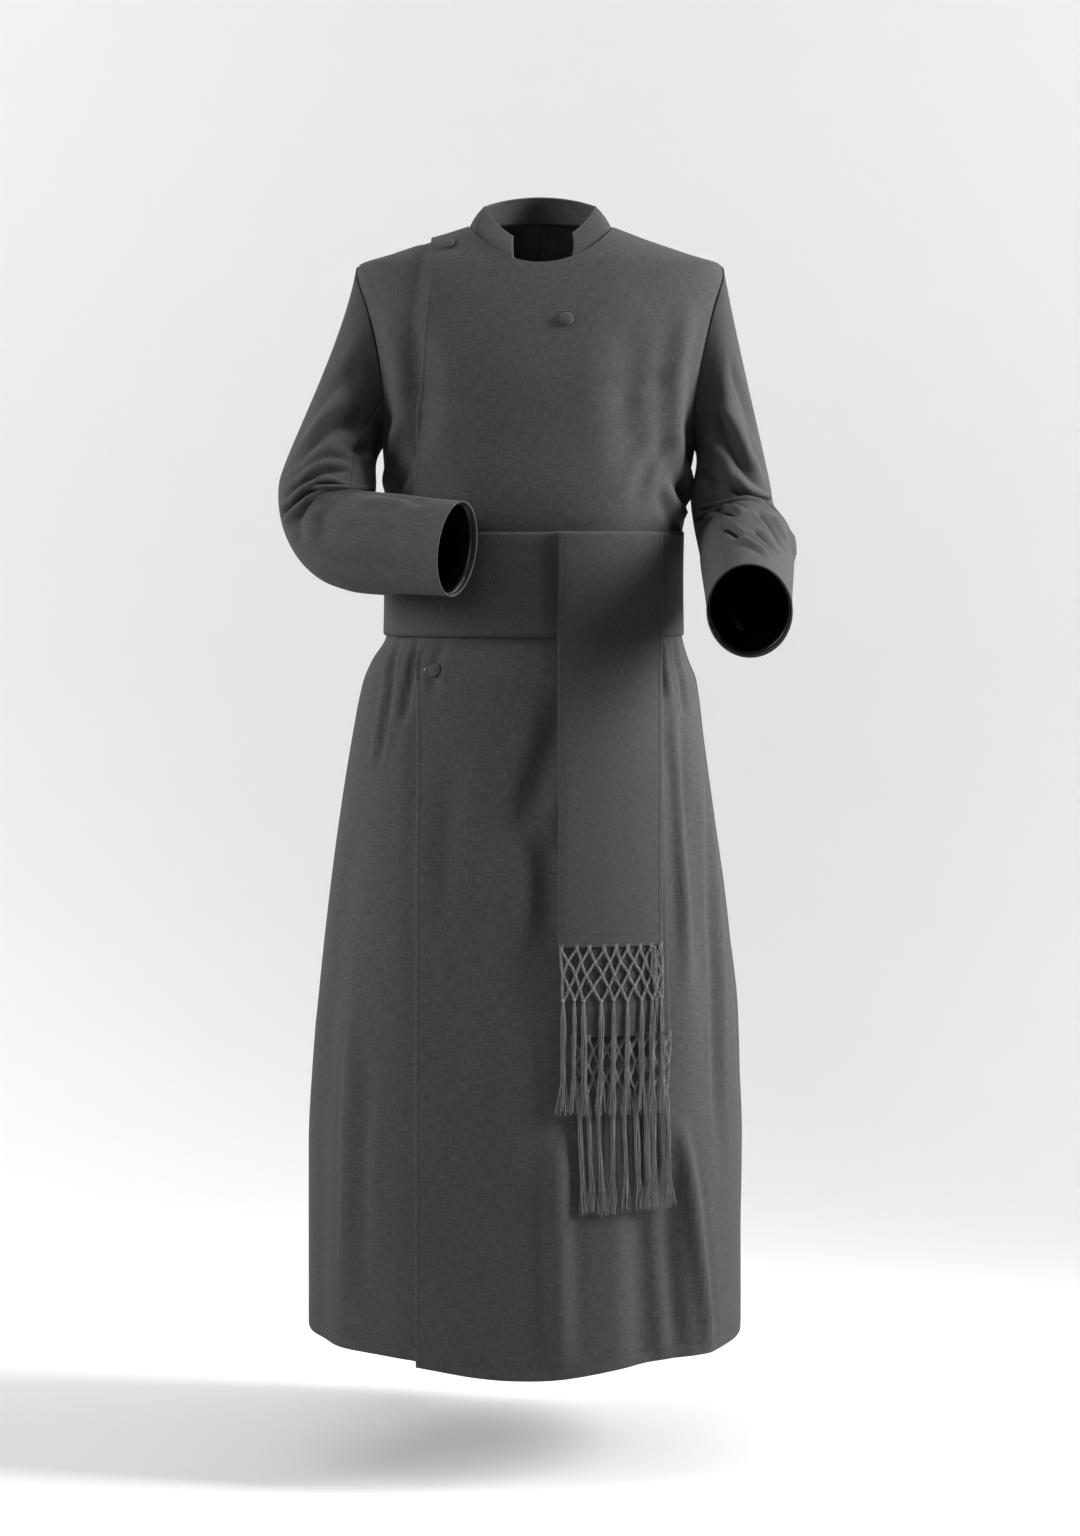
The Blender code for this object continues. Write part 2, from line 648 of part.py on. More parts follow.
def make_sleeves():
    """Make the top and under piece of each sleeve, and the lining that shows in its cuff."""
    step = 360 / SLEEVE_STEPS
    under_half = SLEEVE_UNDER_STEPS * step / 2
    parting = math.degrees(SEAM_GAP / 2 / SLEEVE_RADIUS)
    for name, spec in SLEEVES.items():
        rings, forearm = sleeve_rings(spec)
        pieces = {"under": (180 - under_half, SLEEVE_UNDER_STEPS),
                  "top": (180 + under_half, SLEEVE_STEPS - SLEEVE_UNDER_STEPS)}
        for piece, (first, count) in pieces.items():
            turns = [first + i * step for i in range(count + 1)]
            turns[0] += parting
            turns[-1] -= parting
            outer, inner = [], []
            for ring_number, ring in enumerate(rings):
                for turn in turns:
                    point = ring(turn)
                    around = ring(turn + 4) - ring(turn - 4)
                    before = rings[max(ring_number - 1, 0)](turn)
                    after = rings[min(ring_number + 1, len(rings) - 1)](turn)
                    normal = around.cross(after - before).normalized()
                    middle = (ring(0) + ring(90) + ring(180) + ring(270)) / 4
                    if normal.dot(point - middle) < 0:
                        normal.negate()
                    outer.append(point)
                    inner.append(point - normal * CLOTH)
            make_wall(f"sleeve_{name}_{piece}", outer, inner, grid_faces(len(rings), count + 1), "cloth")
        turns = [180 - under_half + i * step for i in range(SLEEVE_STEPS)]
        shares = spread(*LINING_REACH, FOREARM_STEPS)
        outside = CLOTH + 2 * SEAM_GAP
        outer = [forearm(share)(turn, outside) for share in shares for turn in turns]
        inner = [forearm(share)(turn, outside + LINING) for share in shares for turn in turns]
        make_wall(f"sleeve_lining_{name}", outer, inner,
                  grid_faces(len(shares), SLEEVE_STEPS, closed=True), "satin")


def make_band():
    """Make the cincture's band, which goes all round."""
    rows = spread(BAND_BOTTOM_Z, BAND_TOP_Z, 2)
    angles = [-180 + 360 * i / BAND_STEPS for i in range(BAND_STEPS)]
    outer, inner = [], []
    for z in rows:
        for angle in angles:
            x = bare_point(angle, z).x
            on_overlap = abs(angle) < 90 and x > EDGE_X(z) - BAND_PAST_EDGE
            up = (overlap_lift(x) if on_overlap else 0.0) + SEAM_GAP + BAND_EASE
            outer.append(cloth_point(angle, z, up + BAND_WALL))
            inner.append(cloth_point(angle, z, up))
    make_wall("cincture_band", outer, inner, grid_faces(len(rows), BAND_STEPS, closed=True), "cincture")


def tail_x(tail, share, z):
    """Return x across a tail at a share of its width and a height."""
    along = (BAND_TOP_Z - z) / (BAND_TOP_Z - tail["hem_z"])
    left = mix(tail["top"][0], tail["bottom"][0], along)
    right = mix(tail["top"][1], tail["bottom"][1], along)
    return mix(left, right, share)


def tail_point(tail, share, z, depth):
    """Return a point of a tail, or of its fringe, at a depth in from its outer side."""
    lift = OVERLAP_LIFT + SEAM_GAP * 2 + BAND_EASE + BAND_WALL + TAIL_EASE
    lift += TAIL_WALL + SEAM_GAP + tail["layer"] * TAIL_LAYER - depth
    x = tail_x(tail, share, z)
    angle = angle_at(x, z)
    return bare_point(angle, z) + outward(angle, z) * lift


def make_tails():
    """Make the two hanging tails, each starting on the band."""
    for name, tail in TAILS.items():
        lowest, highest = tail["hem_z"] + TAIL_ROW_SPACE, BAND_TOP_Z - TAIL_ROW_SPACE
        levels = [level for level in body_levels() if lowest < level < highest]
        levels = [tail["hem_z"]] + levels + [BAND_TOP_Z + TAIL_ABOVE_BAND]
        outer, inner = [], []
        for z in levels:
            for c in range(TAIL_STEPS + 1):
                outer.append(tail_point(tail, c / TAIL_STEPS, z, 0.0))
                inner.append(tail_point(tail, c / TAIL_STEPS, z, TAIL_WALL))
        faces = grid_faces(len(levels), TAIL_STEPS + 1)
        make_wall(f"cincture_tail_{name}", outer, inner, faces, "cincture")


def fringe_plan(width):
    """Return the flat outline of a knotted fringe: points (across, down) and faces."""
    points, faces = [], []

    def add(across, down):
        points.append((across, down))
        return len(points) - 1

    pitch = width / (KNOTS - 1 + 2 * FRINGE_END_SHARE)
    edge = pitch * FRINGE_END_SHARE
    half_across, half_down = KNOT_HALF
    xs = [edge + i * pitch for i in range(KNOTS)]
    strip_top = [add(0, 0)]
    strip_low = [add(0, FRINGE_HEAD)]
    roots = []
    for x in xs:
        strip_top += [add(x - half_across, 0), add(x + half_across, 0)]
        pair = [add(x - half_across, FRINGE_HEAD), add(x + half_across, FRINGE_HEAD)]
        strip_low += pair
        roots.append(pair)
    strip_top.append(add(width, 0))
    strip_low.append(add(width, FRINGE_HEAD))
    for i in range(len(strip_top) - 1):
        faces.append([strip_top[i], strip_top[i + 1], strip_low[i + 1], strip_low[i]])
    rows = []
    for r in range(KNOT_ROWS + 1):
        down = FRINGE_HEAD + FIRST_KNOT_DROP + r * KNOT_ROW_DROP
        row_xs = xs if r % 2 == 0 else [x + pitch / 2 for x in xs[:-1]]
        row = []
        for i, x in enumerate(row_xs):
            left, right = add(x - half_across, down), add(x + half_across, down)
            last = r == KNOT_ROWS
            low = None if last else add(x, down + half_down)
            if r == 0:
                top = None
                faces.append([roots[i][0], roots[i][1], right, low, left])
            else:
                top = add(x, down - half_down)
                if not last:
                    faces.append([left, top, right, low])
            row.append({"left": left, "right": right, "top": top, "low": low, "x": x, "down": down})
        rows.append(row)
    for r in range(KNOT_ROWS):
        for i, knot in enumerate(rows[r]):
            offset = 0 if r % 2 == 0 else 1
            for lower, is_right in ((i + offset - 1, False), (i + offset, True)):
                if not 0 <= lower < len(rows[r + 1]):
                    continue
                other = rows[r + 1][lower]
                if is_right:
                    faces.append([knot["right"], other["top"], other["left"], knot["low"]])
                else:
                    faces.append([knot["left"], knot["low"], other["right"], other["top"]])
    for number, knot in enumerate(rows[KNOT_ROWS]):
        add_tassel(knot, number, add, faces)
    return points, faces


def add_tassel(knot, number, add, faces):
    """Add a tassel's head and its strands under a knot."""
    width = TASSEL_STRANDS * STRAND_WIDTH + (TASSEL_STRANDS - 1) * STRAND_GAP
    head_down = knot["down"] + TASSEL_HEAD
    head = [knot["left"], knot["top"], knot["right"]]
    roots = []
    for k in range(TASSEL_STRANDS):
        start = knot["x"] - width / 2 + k * (STRAND_WIDTH + STRAND_GAP)
        roots.append((add(start, head_down), add(start + STRAND_WIDTH, head_down), start))
    for left, right, _ in reversed(roots):
        head += [right, left]
    faces.append(head)
    for k, (left, right, start) in enumerate(roots):
        uneven = TASSEL_UNEVEN * math.sin(2.4 * k + 1.7 * number)
        middle = knot["x"] + (start + STRAND_WIDTH / 2 - knot["x"]) * TASSEL_FLARE
        end_down = head_down + TASSEL_LENGTH + uneven
        low_left = add(middle - STRAND_WIDTH / 2, end_down)
        low_right = add(middle + STRAND_WIDTH / 2, end_down)
        faces.append([left, right, low_right, low_left])


def make_fringes():
    """Make the knotted fringe under each tail."""
    for name, tail in TAILS.items():
        width = tail["bottom"][1] - tail["bottom"][0]
        points, faces = fringe_plan(width)
        top = tail["hem_z"] - SEAM_GAP
        outer = [tail_point(tail, across / width, top - down, FRINGE_SET_IN) for across, down in points]
        inner = [tail_point(tail, across / width, top - down, FRINGE_SET_IN + FRINGE_WALL)
                 for across, down in points]
        make_wall(f"fringe_{name}", outer, inner, faces, "fringe", smooth=False)


def make_buttons():
    """Make the covered buttons: low domes over a flat back."""
    for name, (x, z) in BUTTONS.items():
        mesh = bpy.data.meshes.new(name)
        shaped = bmesh.new()
        rings = []
        for height, radius in BUTTON_PROFILE:
            ring = []
            for i in range(BUTTON_SIDES):
                t = 2 * math.pi * i / BUTTON_SIDES
                reach = BUTTON_RADIUS * radius
                place = (reach * math.cos(t), reach * math.sin(t), height * BUTTON_HEIGHT)
                ring.append(shaped.verts.new(place))
            rings.append(ring)
        shaped.faces.new(list(reversed(rings[0])))
        shaped.faces.new(rings[-1])
        for low, high in zip(rings, rings[1:]):
            for i in range(BUTTON_SIDES):
                j = (i + 1) % BUTTON_SIDES
                shaped.faces.new((low[i], low[j], high[j], high[i]))
        bmesh.ops.recalc_face_normals(shaped, faces=shaped.faces)
        shaped.to_mesh(mesh)
        shaped.free()
        thing = add_object(f"button_{name}", mesh, "cloth")
        angle = angle_at(x, z)
        normal = outward(angle, z)
        thing.location = cloth_point(angle, z, OVERLAP_LIFT + BUTTON_GAP)
        thing.rotation_euler = normal.to_track_quat("Z", "Y").to_euler()


def main():
    """Build the whole garment."""
    for thing in list(bpy.data.objects):
        bpy.data.objects.remove(thing, do_unlink=True)
    make_body()
    make_collar()
    make_sleeves()
    make_band()
    make_tails()
    make_fringes()
    make_buttons()


main()
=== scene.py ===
import math

import bmesh
import bpy
import numpy as np
from mathutils import Matrix, Vector


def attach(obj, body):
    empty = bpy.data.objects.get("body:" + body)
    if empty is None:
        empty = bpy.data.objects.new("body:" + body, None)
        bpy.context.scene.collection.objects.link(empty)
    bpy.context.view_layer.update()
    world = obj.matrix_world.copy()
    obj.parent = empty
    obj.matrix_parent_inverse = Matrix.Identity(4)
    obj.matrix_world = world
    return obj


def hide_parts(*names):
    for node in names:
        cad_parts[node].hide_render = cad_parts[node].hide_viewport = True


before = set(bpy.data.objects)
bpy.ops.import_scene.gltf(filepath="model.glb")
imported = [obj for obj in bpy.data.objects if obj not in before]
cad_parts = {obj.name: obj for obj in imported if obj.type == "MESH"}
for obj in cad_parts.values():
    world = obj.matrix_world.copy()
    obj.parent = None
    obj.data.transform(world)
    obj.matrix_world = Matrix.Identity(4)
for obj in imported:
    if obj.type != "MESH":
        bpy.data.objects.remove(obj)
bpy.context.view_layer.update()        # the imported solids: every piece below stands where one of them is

# A charcoal double-breasted cassock and its fringed cincture, hollow and in the form it has when
# worn. Metres, +Z up, front towards -Y, the wearer's left towards +X; angles run round the garment
# from the centre front (0) over the wearer's left side (90) to the centre back (180).
print("frame loaded:", len(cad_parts), "solids")


# The garment's form

form = {
    "power": 0.88,            # squareness of the sections
    "normalSteps": (0.6, 0.002),     # degrees and metres over which the form's normal is measured
    "neckHalfWidth": 0.092,
    "neckFrontZ": -0.050,
    "neckBackZ": 0.012,
    "neckPower": 1.6,
    "neckStep": 15,           # degrees between the points of the neck edge
    "shoulderZ": -0.048,
    "underarmZ": -0.275,
    "armholeFront": 20.0,     # degrees the armhole reaches round to the front, and to the back
    "armholeBack": 18.0,
    "hemZ": -1.390,
    "hemDrop": 0.016,         # how much lower the hem is at the centre front
    "hemSpread": 22.0,
    "waistZ": -0.547,
    "cloth": 0.0018,
    "seam": 0.0003,           # gap between the solids' pieces; the cloth here meets at its seams
    "seamSink": 0.0009,       # how far a seam line is pulled in, and how wide
    "seamWidth": 0.0028,
    "overlapLift": 0.0022,    # the overlap lies on the underlap as far as the first of these x
    "overlapBlend": (0.080, 0.145),
    "edgeRise": 0.0018,       # how far the free edge stands off, and how deep the cloth beside it lies
    "besideEdge": 0.0024,
    "besidePlace": (0.004, 0.009),   # how far off the edge that dip lies, and how wide it is
    "edgeFade": 0.012,               # how far in the free edge's rise fades out
    "lip": (0.0020, 0.007, -0.026, 0.02),    # rise and fade of the overlap's neck edge, where it starts
    "bandClear": (-0.4495, 0.02, 3.9),       # the band's middle, and how fast the cloth frees itself
    "underlapHem": (0.006, 0.2),     # how much shorter the underlap is, and how far up that fades
    "hemStitch": 0.015,              # how far in the rows of stitches lie
    "edgeStitch": 0.006,
    "groove": (0.0011, 0.0005),      # width and depth of the dip along a row of stitches
    "roll": (0.0007, 0.0022),        # how far a turned edge rolls down, and how wide
    "hiddenEdgeTurn": 30,
    "overlapTopX": -0.136,
    "overlapEdge": [          # height, x of the free edge
        (-1.420, -0.149), (-1.100, -0.150), (-0.600, -0.151), (-0.300, -0.1535),
        (-0.120, -0.153), (-0.065, -0.147), (-0.015, -0.136)],
    "sections": [             # height, right side, left side, front depth, back depth
        (0.016, -0.050, 0.050, 0.044, 0.062),
        (0.000, -0.092, 0.092, 0.060, 0.074),
        (-0.016, -0.139, 0.139, 0.070, 0.083),
        (-0.032, -0.186, 0.186, 0.078, 0.091),
        (-0.048, -0.231, 0.231, 0.086, 0.099),
        (-0.062, -0.235, 0.235, 0.092, 0.103),
        (-0.100, -0.228, 0.229, 0.106, 0.112),
        (-0.150, -0.219, 0.220, 0.120, 0.117),
        (-0.200, -0.210, 0.209, 0.130, 0.118),
        (-0.275, -0.200, 0.196, 0.137, 0.115),
        (-0.330, -0.197, 0.187, 0.141, 0.110),
        (-0.365, -0.197, 0.183, 0.138, 0.106),
        (-0.388, -0.194, 0.179, 0.133, 0.103),
        (-0.450, -0.194, 0.178, 0.133, 0.105),
        (-0.515, -0.195, 0.179, 0.136, 0.117),
        (-0.547, -0.213, 0.187, 0.145, 0.131),
        (-0.573, -0.224, 0.197, 0.152, 0.144),
        (-0.649, -0.239, 0.207, 0.165, 0.170),
        (-0.751, -0.255, 0.221, 0.176, 0.195),
        (-0.852, -0.268, 0.235, 0.187, 0.210),
        (-0.954, -0.279, 0.245, 0.197, 0.220),
        (-1.055, -0.288, 0.250, 0.206, 0.228),
        (-1.157, -0.293, 0.254, 0.213, 0.233),
        (-1.420, -0.293, 0.254, 0.226, 0.241)],
    "folds": [                # angle at the top and bottom, half width, top and bottom height, lift
        (6, -8, 8, -0.60, -0.84, -0.0045), (3, 1, 8, -0.82, -1.05, -0.0045),
        (4, 6, 9, -1.05, -1.50, 0.0040), (44, 47, 9, -0.58, -1.10, 0.0045),
        (56, 60, 8, -0.60, -1.20, -0.0055), (43, 54, 9, -1.08, -1.50, 0.0080),
        (33, 34, 9, -1.15, -1.50, -0.0070), (-50, -52, 9, -0.90, -1.50, 0.0045),
        (-62, -66, 8, -0.70, -1.50, -0.0040), (-36, -24, 8, -0.56, -0.80, -0.0035),
        (112, 116, 10, -0.60, -1.50, -0.0070), (132, 134, 10, -0.64, -1.50, 0.0080),
        (155, 152, 10, -0.60, -1.50, -0.0075), (-112, -110, 10, -0.62, -1.50, -0.0075),
        (-134, -131, 10, -0.60, -1.50, 0.0080), (-156, -158, 10, -0.66, -1.50, -0.0070)],
    "foldFade": 0.12,
    "creaseDepth": 1.7,       # scales every crease of the body below
    "bodiceRows": [           # turn on the armhole, share of the way up inside the panel
        (180, 0.0), (150, 0.18), (120, 0.36), (90, 0.53), (60, 0.70), (30, 0.85),
        (15, 0.93), (7.5, 0.975), (0, 1.0)],
}


def mix(a, b, t):
    return a + (b - a) * t


def ease(t):
    t = np.clip(t, 0.0, 1.0)
    return t * t * (3 - 2 * t)


def smoothColumn(rows, place):   # a smooth curve through one column of a table, read at any height
    ordered = sorted((row[0], row[place]) for row in rows)
    at = np.array([pair[0] for pair in ordered])
    value = np.array([pair[1] for pair in ordered])
    step = np.diff(at)
    slope = np.diff(value) / step
    tangent = np.zeros(len(at))
    tangent[0], tangent[-1] = slope[0], slope[-1]
    for i in range(1, len(at) - 1):
        if slope[i - 1] * slope[i] > 0:
            tangent[i] = 2 * slope[i - 1] * slope[i] / (slope[i - 1] + slope[i])

    def column(z):
        z = np.clip(z, at[0], at[-1])
        i = np.clip(np.searchsorted(at, z, side="right") - 1, 0, len(step) - 1)
        t = (z - at[i]) / step[i]
        bend = step[i] * (tangent[i] * t * (1 - t) ** 2 - tangent[i + 1] * t * t * (1 - t))
        return value[i] + (value[i + 1] - value[i]) * t * t * (3 - 2 * t) + bend

    return column


rightSide, leftSide, frontDepth, backDepth = [smoothColumn(form["sections"], k) for k in range(1, 5)]
overlapEdgeX = smoothColumn(form["overlapEdge"], 1)


def formPoint(angle, z):
    turn = np.radians(angle)
    s, c = np.sin(turn), np.cos(turn)
    right, left = rightSide(z), leftSide(z)
    x = (left + right) / 2 + (left - right) / 2 * np.sign(s) * np.abs(s) ** form["power"]
    depth = np.where(c >= 0, -frontDepth(z), backDepth(z))
    return np.stack(np.broadcast_arrays(x, depth * np.abs(c) ** form["power"], z), axis=-1)


def unit(vectors):
    return vectors / np.maximum(np.linalg.norm(vectors, axis=-1, keepdims=True), 1e-9)


def formNormal(angle, z):
    turn, climb = form["normalSteps"]
    across = formPoint(angle + turn, z) - formPoint(angle - turn, z)
    above = np.minimum(z + climb, form["sections"][0][0])
    rise = formPoint(angle, above) - formPoint(angle, z - climb)
    return unit(np.cross(across, rise))


def angleAt(x, z, back=False):
    right, left = rightSide(z), leftSide(z)
    q = np.clip((x - (left + right) / 2) / ((left - right) / 2), -1.0, 1.0)
    angle = np.degrees(np.arcsin(np.abs(q) ** (1 / form["power"])))
    angle = 180 - angle if back else angle
    return np.where(q < 0, -angle, angle)


def degreeLength(z):             # metres round the garment for each degree
    return ((leftSide(z) - rightSide(z)) + (frontDepth(z) + backDepth(z))) / 4 * math.pi / 180


# A crease fades over this share of its length at each end unless it names its own, and has banks
creaseShape = {"fade": 0.35, "banks": 0.30, "banksAt": 1.9, "banksWidth": 0.8}


def creaseLift(u, v, creases):   # soft troughs (-) and ridges (+) along given lines
    total = np.zeros(np.shape(u))
    for crease in creases:
        path, width, lift = crease[:3]
        fade = crease[3] if len(crease) > 3 else creaseShape["fade"]
        starts, ends = np.array(path[:-1]), np.array(path[1:])
        lengths = np.linalg.norm(ends - starts, axis=1)
        before = np.concatenate([[0], np.cumsum(lengths)])
        near = np.full(np.shape(u), 1e9)
        along = np.zeros(np.shape(u))
        for i, (a, b) in enumerate(zip(starts, ends)):
            run = b - a
            t = np.clip(((u - a[0]) * run[0] + (v - a[1]) * run[1]) / max(run @ run, 1e-12), 0, 1)
            gap = np.hypot(u - a[0] - t * run[0], v - a[1] - t * run[1])
            closer = gap < near
            near = np.where(closer, gap, near)
            along = np.where(closer, (before[i] + t * lengths[i]) / before[-1], along)
        taper = ease(along / fade) * ease((1 - along) / fade)
        off = near / width
        banks = np.exp(-((off - creaseShape["banksAt"]) / creaseShape["banksWidth"]) ** 2)
        total += lift * taper * (np.exp(-off ** 2) - creaseShape["banks"] * banks)
    return total


# Creases of the body, in metres of x and height on the front, in degrees and height elsewhere
bodyCreases = {
    "front": [
        ([(0.03, -0.56), (0.014, -0.645), (-0.03, -0.77)], 0.013, -0.0034),
        ([(0.004, -0.74), (0.008, -0.8), (0.007, -0.9)], 0.011, -0.0035),
        ([(0.16, -0.545), (0.17, -0.7), (0.18, -0.98)], 0.01, 0.0046),
        ([(0.204, -0.64), (0.216, -0.86), (0.224, -1.2)], 0.012, -0.004),
        ([(0.168, -1.09), (0.187, -1.24), (0.204, -1.405)], 0.01, 0.005, 0.2),
        ([(0.15, -1.15), (0.16, -1.27), (0.172, -1.405)], 0.012, -0.0035, 0.2),
        ([(0.12, -1.18), (0.122, -1.3), (0.126, -1.41)], 0.016, -0.003, 0.2),
        ([(0.018, -1.09), (0.022, -1.24), (0.026, -1.41)], 0.01, 0.003, 0.2),
        ([(-0.226, -0.93), (-0.236, -1.15), (-0.24, -1.38)], 0.009, 0.0026),
        ([(-0.206, -0.98), (-0.214, -1.18), (-0.216, -1.36)], 0.009, -0.0024),
        ([(-0.176, -0.512), (-0.186, -0.58), (-0.204, -0.69)], 0.006, -0.0045, 0.25),
        ([(-0.152, -0.512), (-0.16, -0.56), (-0.172, -0.63)], 0.005, -0.004, 0.25),
        ([(-0.12, -0.512), (-0.126, -0.545), (-0.133, -0.59)], 0.006, -0.0018, 0.25),
        ([(0.147, -0.512), (0.15, -0.54), (0.154, -0.6)], 0.005, -0.0046, 0.25),
        ([(0.168, -0.512), (0.174, -0.56), (0.182, -0.62)], 0.006, -0.003, 0.25),
        ([(-0.1, -0.62), (-0.112, -0.76), (-0.118, -0.9)], 0.016, -0.0018),
        ([(-0.06, -0.9), (-0.066, -1.08), (-0.07, -1.26)], 0.018, -0.0018),
        ([(-0.176, -0.255), (-0.14, -0.3), (-0.095, -0.345)], 0.01, -0.0022),
        ([(-0.17, -0.2), (-0.13, -0.215), (-0.085, -0.24)], 0.012, -0.0018),
        ([(0.17, -0.25), (0.135, -0.3), (0.11, -0.36)], 0.01, -0.0022),
        ([(0.168, -0.19), (0.12, -0.205), (0.08, -0.235)], 0.012, -0.0016),
        ([(0.192, -0.085), (0.172, -0.18), (0.168, -0.26), (0.178, -0.335)], 0.016, 0.0046, 0.3),
        ([(0.118, -0.11), (0.106, -0.22), (0.116, -0.33)], 0.02, -0.0024, 0.3),
        ([(0.15, -0.322), (0.166, -0.348), (0.182, -0.366)], 0.01, 0.005, 0.25),
        ([(0.176, -0.3), (0.186, -0.33), (0.19, -0.352)], 0.012, 0.006, 0.25),
        ([(-0.2, -0.085), (-0.178, -0.17), (-0.172, -0.25), (-0.184, -0.31)], 0.018, 0.004, 0.3),
        ([(-0.176, -0.24), (-0.184, -0.29), (-0.196, -0.34)], 0.01, 0.004, 0.25),
        ([(-0.16, -0.3), (-0.178, -0.33), (-0.192, -0.35)], 0.008, -0.0036, 0.3),
        ([(-0.15, -0.11), (-0.14, -0.22), (-0.148, -0.31)], 0.016, -0.0022, 0.3),
        ([(-0.16, -0.34), (-0.12, -0.362), (-0.07, -0.372)], 0.008, -0.0016),
    ],
    "round": [
        ([(102, -0.52), (104, -0.6), (107, -0.74)], 0.008, -0.004),
        ([(118, -0.52), (121, -0.58), (124, -0.66)], 0.006, -0.004),
        ([(140, -0.52), (141, -0.6), (140, -0.72)], 0.008, -0.0035),
        ([(163, -0.52), (165, -0.58), (166, -0.68)], 0.007, -0.0035),
        ([(-103, -0.52), (-106, -0.6), (-108, -0.73)], 0.008, -0.004),
        ([(-120, -0.52), (-122, -0.58), (-126, -0.67)], 0.006, -0.004),
        ([(-143, -0.52), (-142, -0.6), (-144, -0.72)], 0.008, -0.0035),
        ([(-165, -0.52), (-166, -0.59), (-168, -0.69)], 0.007, -0.0035),
        ([(96, -0.86), (98, -1.1), (101, -1.4)], 0.012, 0.0035, 0.25),
        ([(-97, -0.9), (-99, -1.12), (-102, -1.4)], 0.012, 0.0035, 0.25),
        ([(170, -0.95), (171, -1.15), (171, -1.4)], 0.014, 0.003, 0.25),
        ([(-172, -0.9), (-171, -1.15), (-173, -1.4)], 0.014, -0.003, 0.25),
        ([(112, -0.17), (135, -0.2), (158, -0.24)], 0.014, -0.0022),
        ([(-112, -0.17), (-136, -0.21), (-160, -0.26)], 0.014, -0.0022),
        ([(118, -0.28), (138, -0.33), (160, -0.36)], 0.01, -0.0026),
        ([(-118, -0.29), (-139, -0.33), (-158, -0.37)], 0.01, -0.0026),
        ([(165, -0.1), (178, -0.13), (190, -0.1)], 0.012, -0.0016),
    ],
}


def bodyLift(angle, z):
    lift = np.zeros(np.shape(angle))
    for topAngle, lowAngle, halfWidth, zTop, zLow, height in form["folds"]:
        along = (zTop - z) / (zTop - zLow)
        fade = ease((zTop - z) / form["foldFade"]) * ease((z - zLow) / form["foldFade"])
        off = (angle - mix(topAngle, lowAngle, along)) / halfWidth
        lift += np.where((along > 0) & (along < 1), height * fade * np.exp(-off ** 2), 0)
    scale = degreeLength(z)
    for kind, creases in bodyCreases.items():
        placed = []
        for crease in creases:
            path = []
            for a, height in crease[0]:
                degrees = float(angleAt(a, height)) if kind == "front" else a
                path.append((degrees * float(degreeLength(height)), height))
            placed.append((path,) + tuple(crease[1:]))
        lift += form["creaseDepth"] * creaseLift(angle * scale, z, placed)
    return lift


def clothPoint(angle, z, lift):
    return formPoint(angle, z) + formNormal(angle, z) * (bodyLift(angle, z) + lift)[..., None]


def clearOfBand(z):              # 0 under the cincture's band, 1 well above and below it
    middle, fade, held = form["bandClear"]
    return np.clip(np.abs(z - middle) / fade - held, 0, 1)


def besideOverlap(x, z):         # the underlap dips beside the free edge
    shift, width = form["besidePlace"]
    off = (x - overlapEdgeX(z) + shift) / width
    return -form["besideEdge"] * np.exp(-off ** 2) * clearOfBand(z)


def overlapLift(x, z=None):      # the same at any height
    start, end = form["overlapBlend"]
    return form["overlapLift"] * (1 - ease((x - start) / (end - start)))


def neckZ(x, back=False):
    across = np.sqrt(np.maximum(0, 1 - (x / form["neckHalfWidth"]) ** 2))
    return (form["neckBackZ"] if back else form["neckFrontZ"]) * across ** form["neckPower"]


shoulderZs = np.linspace(form["shoulderZ"], 0.0, 200)
shoulderXs = leftSide(shoulderZs)


def topZ(x, back=False):
    onShoulder = np.interp(-np.abs(x), -shoulderXs, shoulderZs)
    return np.where(np.abs(x) <= form["neckHalfWidth"] + 1e-6, neckZ(x, back), onShoulder)


def armholeAt(side, turn):
    t = np.radians(turn)
    middle = (form["shoulderZ"] + form["underarmZ"]) / 2
    half = (form["shoulderZ"] - form["underarmZ"]) / 2
    width = np.where(np.sin(t) > 0, form["armholeFront"], form["armholeBack"])
    return side * (90 - width * np.sin(t)), middle + half * np.cos(t)


# Materials

def linearColor(hexColor):
    channels = [int(hexColor[i:i + 2], 16) / 255 for i in (1, 3, 5)]
    return [c / 12.92 if c <= 0.04045 else ((c + 0.055) / 1.055) ** 2.4 for c in channels] + [1.0]


def addNode(tree, kind, settings=None, values=None, links=None):
    node = tree.nodes.new(kind)
    for name, value in (settings or {}).items():
        setattr(node, name, value)
    for name, value in (values or {}).items():
        node.inputs[name].default_value = value
    for name, source in (links or {}).items():
        tree.links.new(source, node.inputs[name])
    return node


def startMaterial(name):
    material = bpy.data.materials.new(name)
    material.use_nodes = True
    tree = material.node_tree
    tree.nodes.clear()
    output = addNode(tree, "ShaderNodeOutputMaterial")
    shader = addNode(tree, "ShaderNodeBsdfPrincipled")
    tree.links.new(shader.outputs["BSDF"], output.inputs["Surface"])
    return material, tree, shader


def shadeBetween(tree, shader, factor, dark, light):
    shade = addNode(tree, "ShaderNodeMix", {"data_type": "RGBA"},
                    {6: linearColor(dark), 7: linearColor(light)}, {0: factor})
    tree.links.new(shade.outputs[2], shader.inputs["Base Color"])


def addBump(tree, shader, height, strength, distance):
    bump = addNode(tree, "ShaderNodeBump", {}, {"Strength": strength, "Distance": distance},
                   {"Height": height})
    tree.links.new(bump.outputs["Normal"], shader.inputs["Normal"])


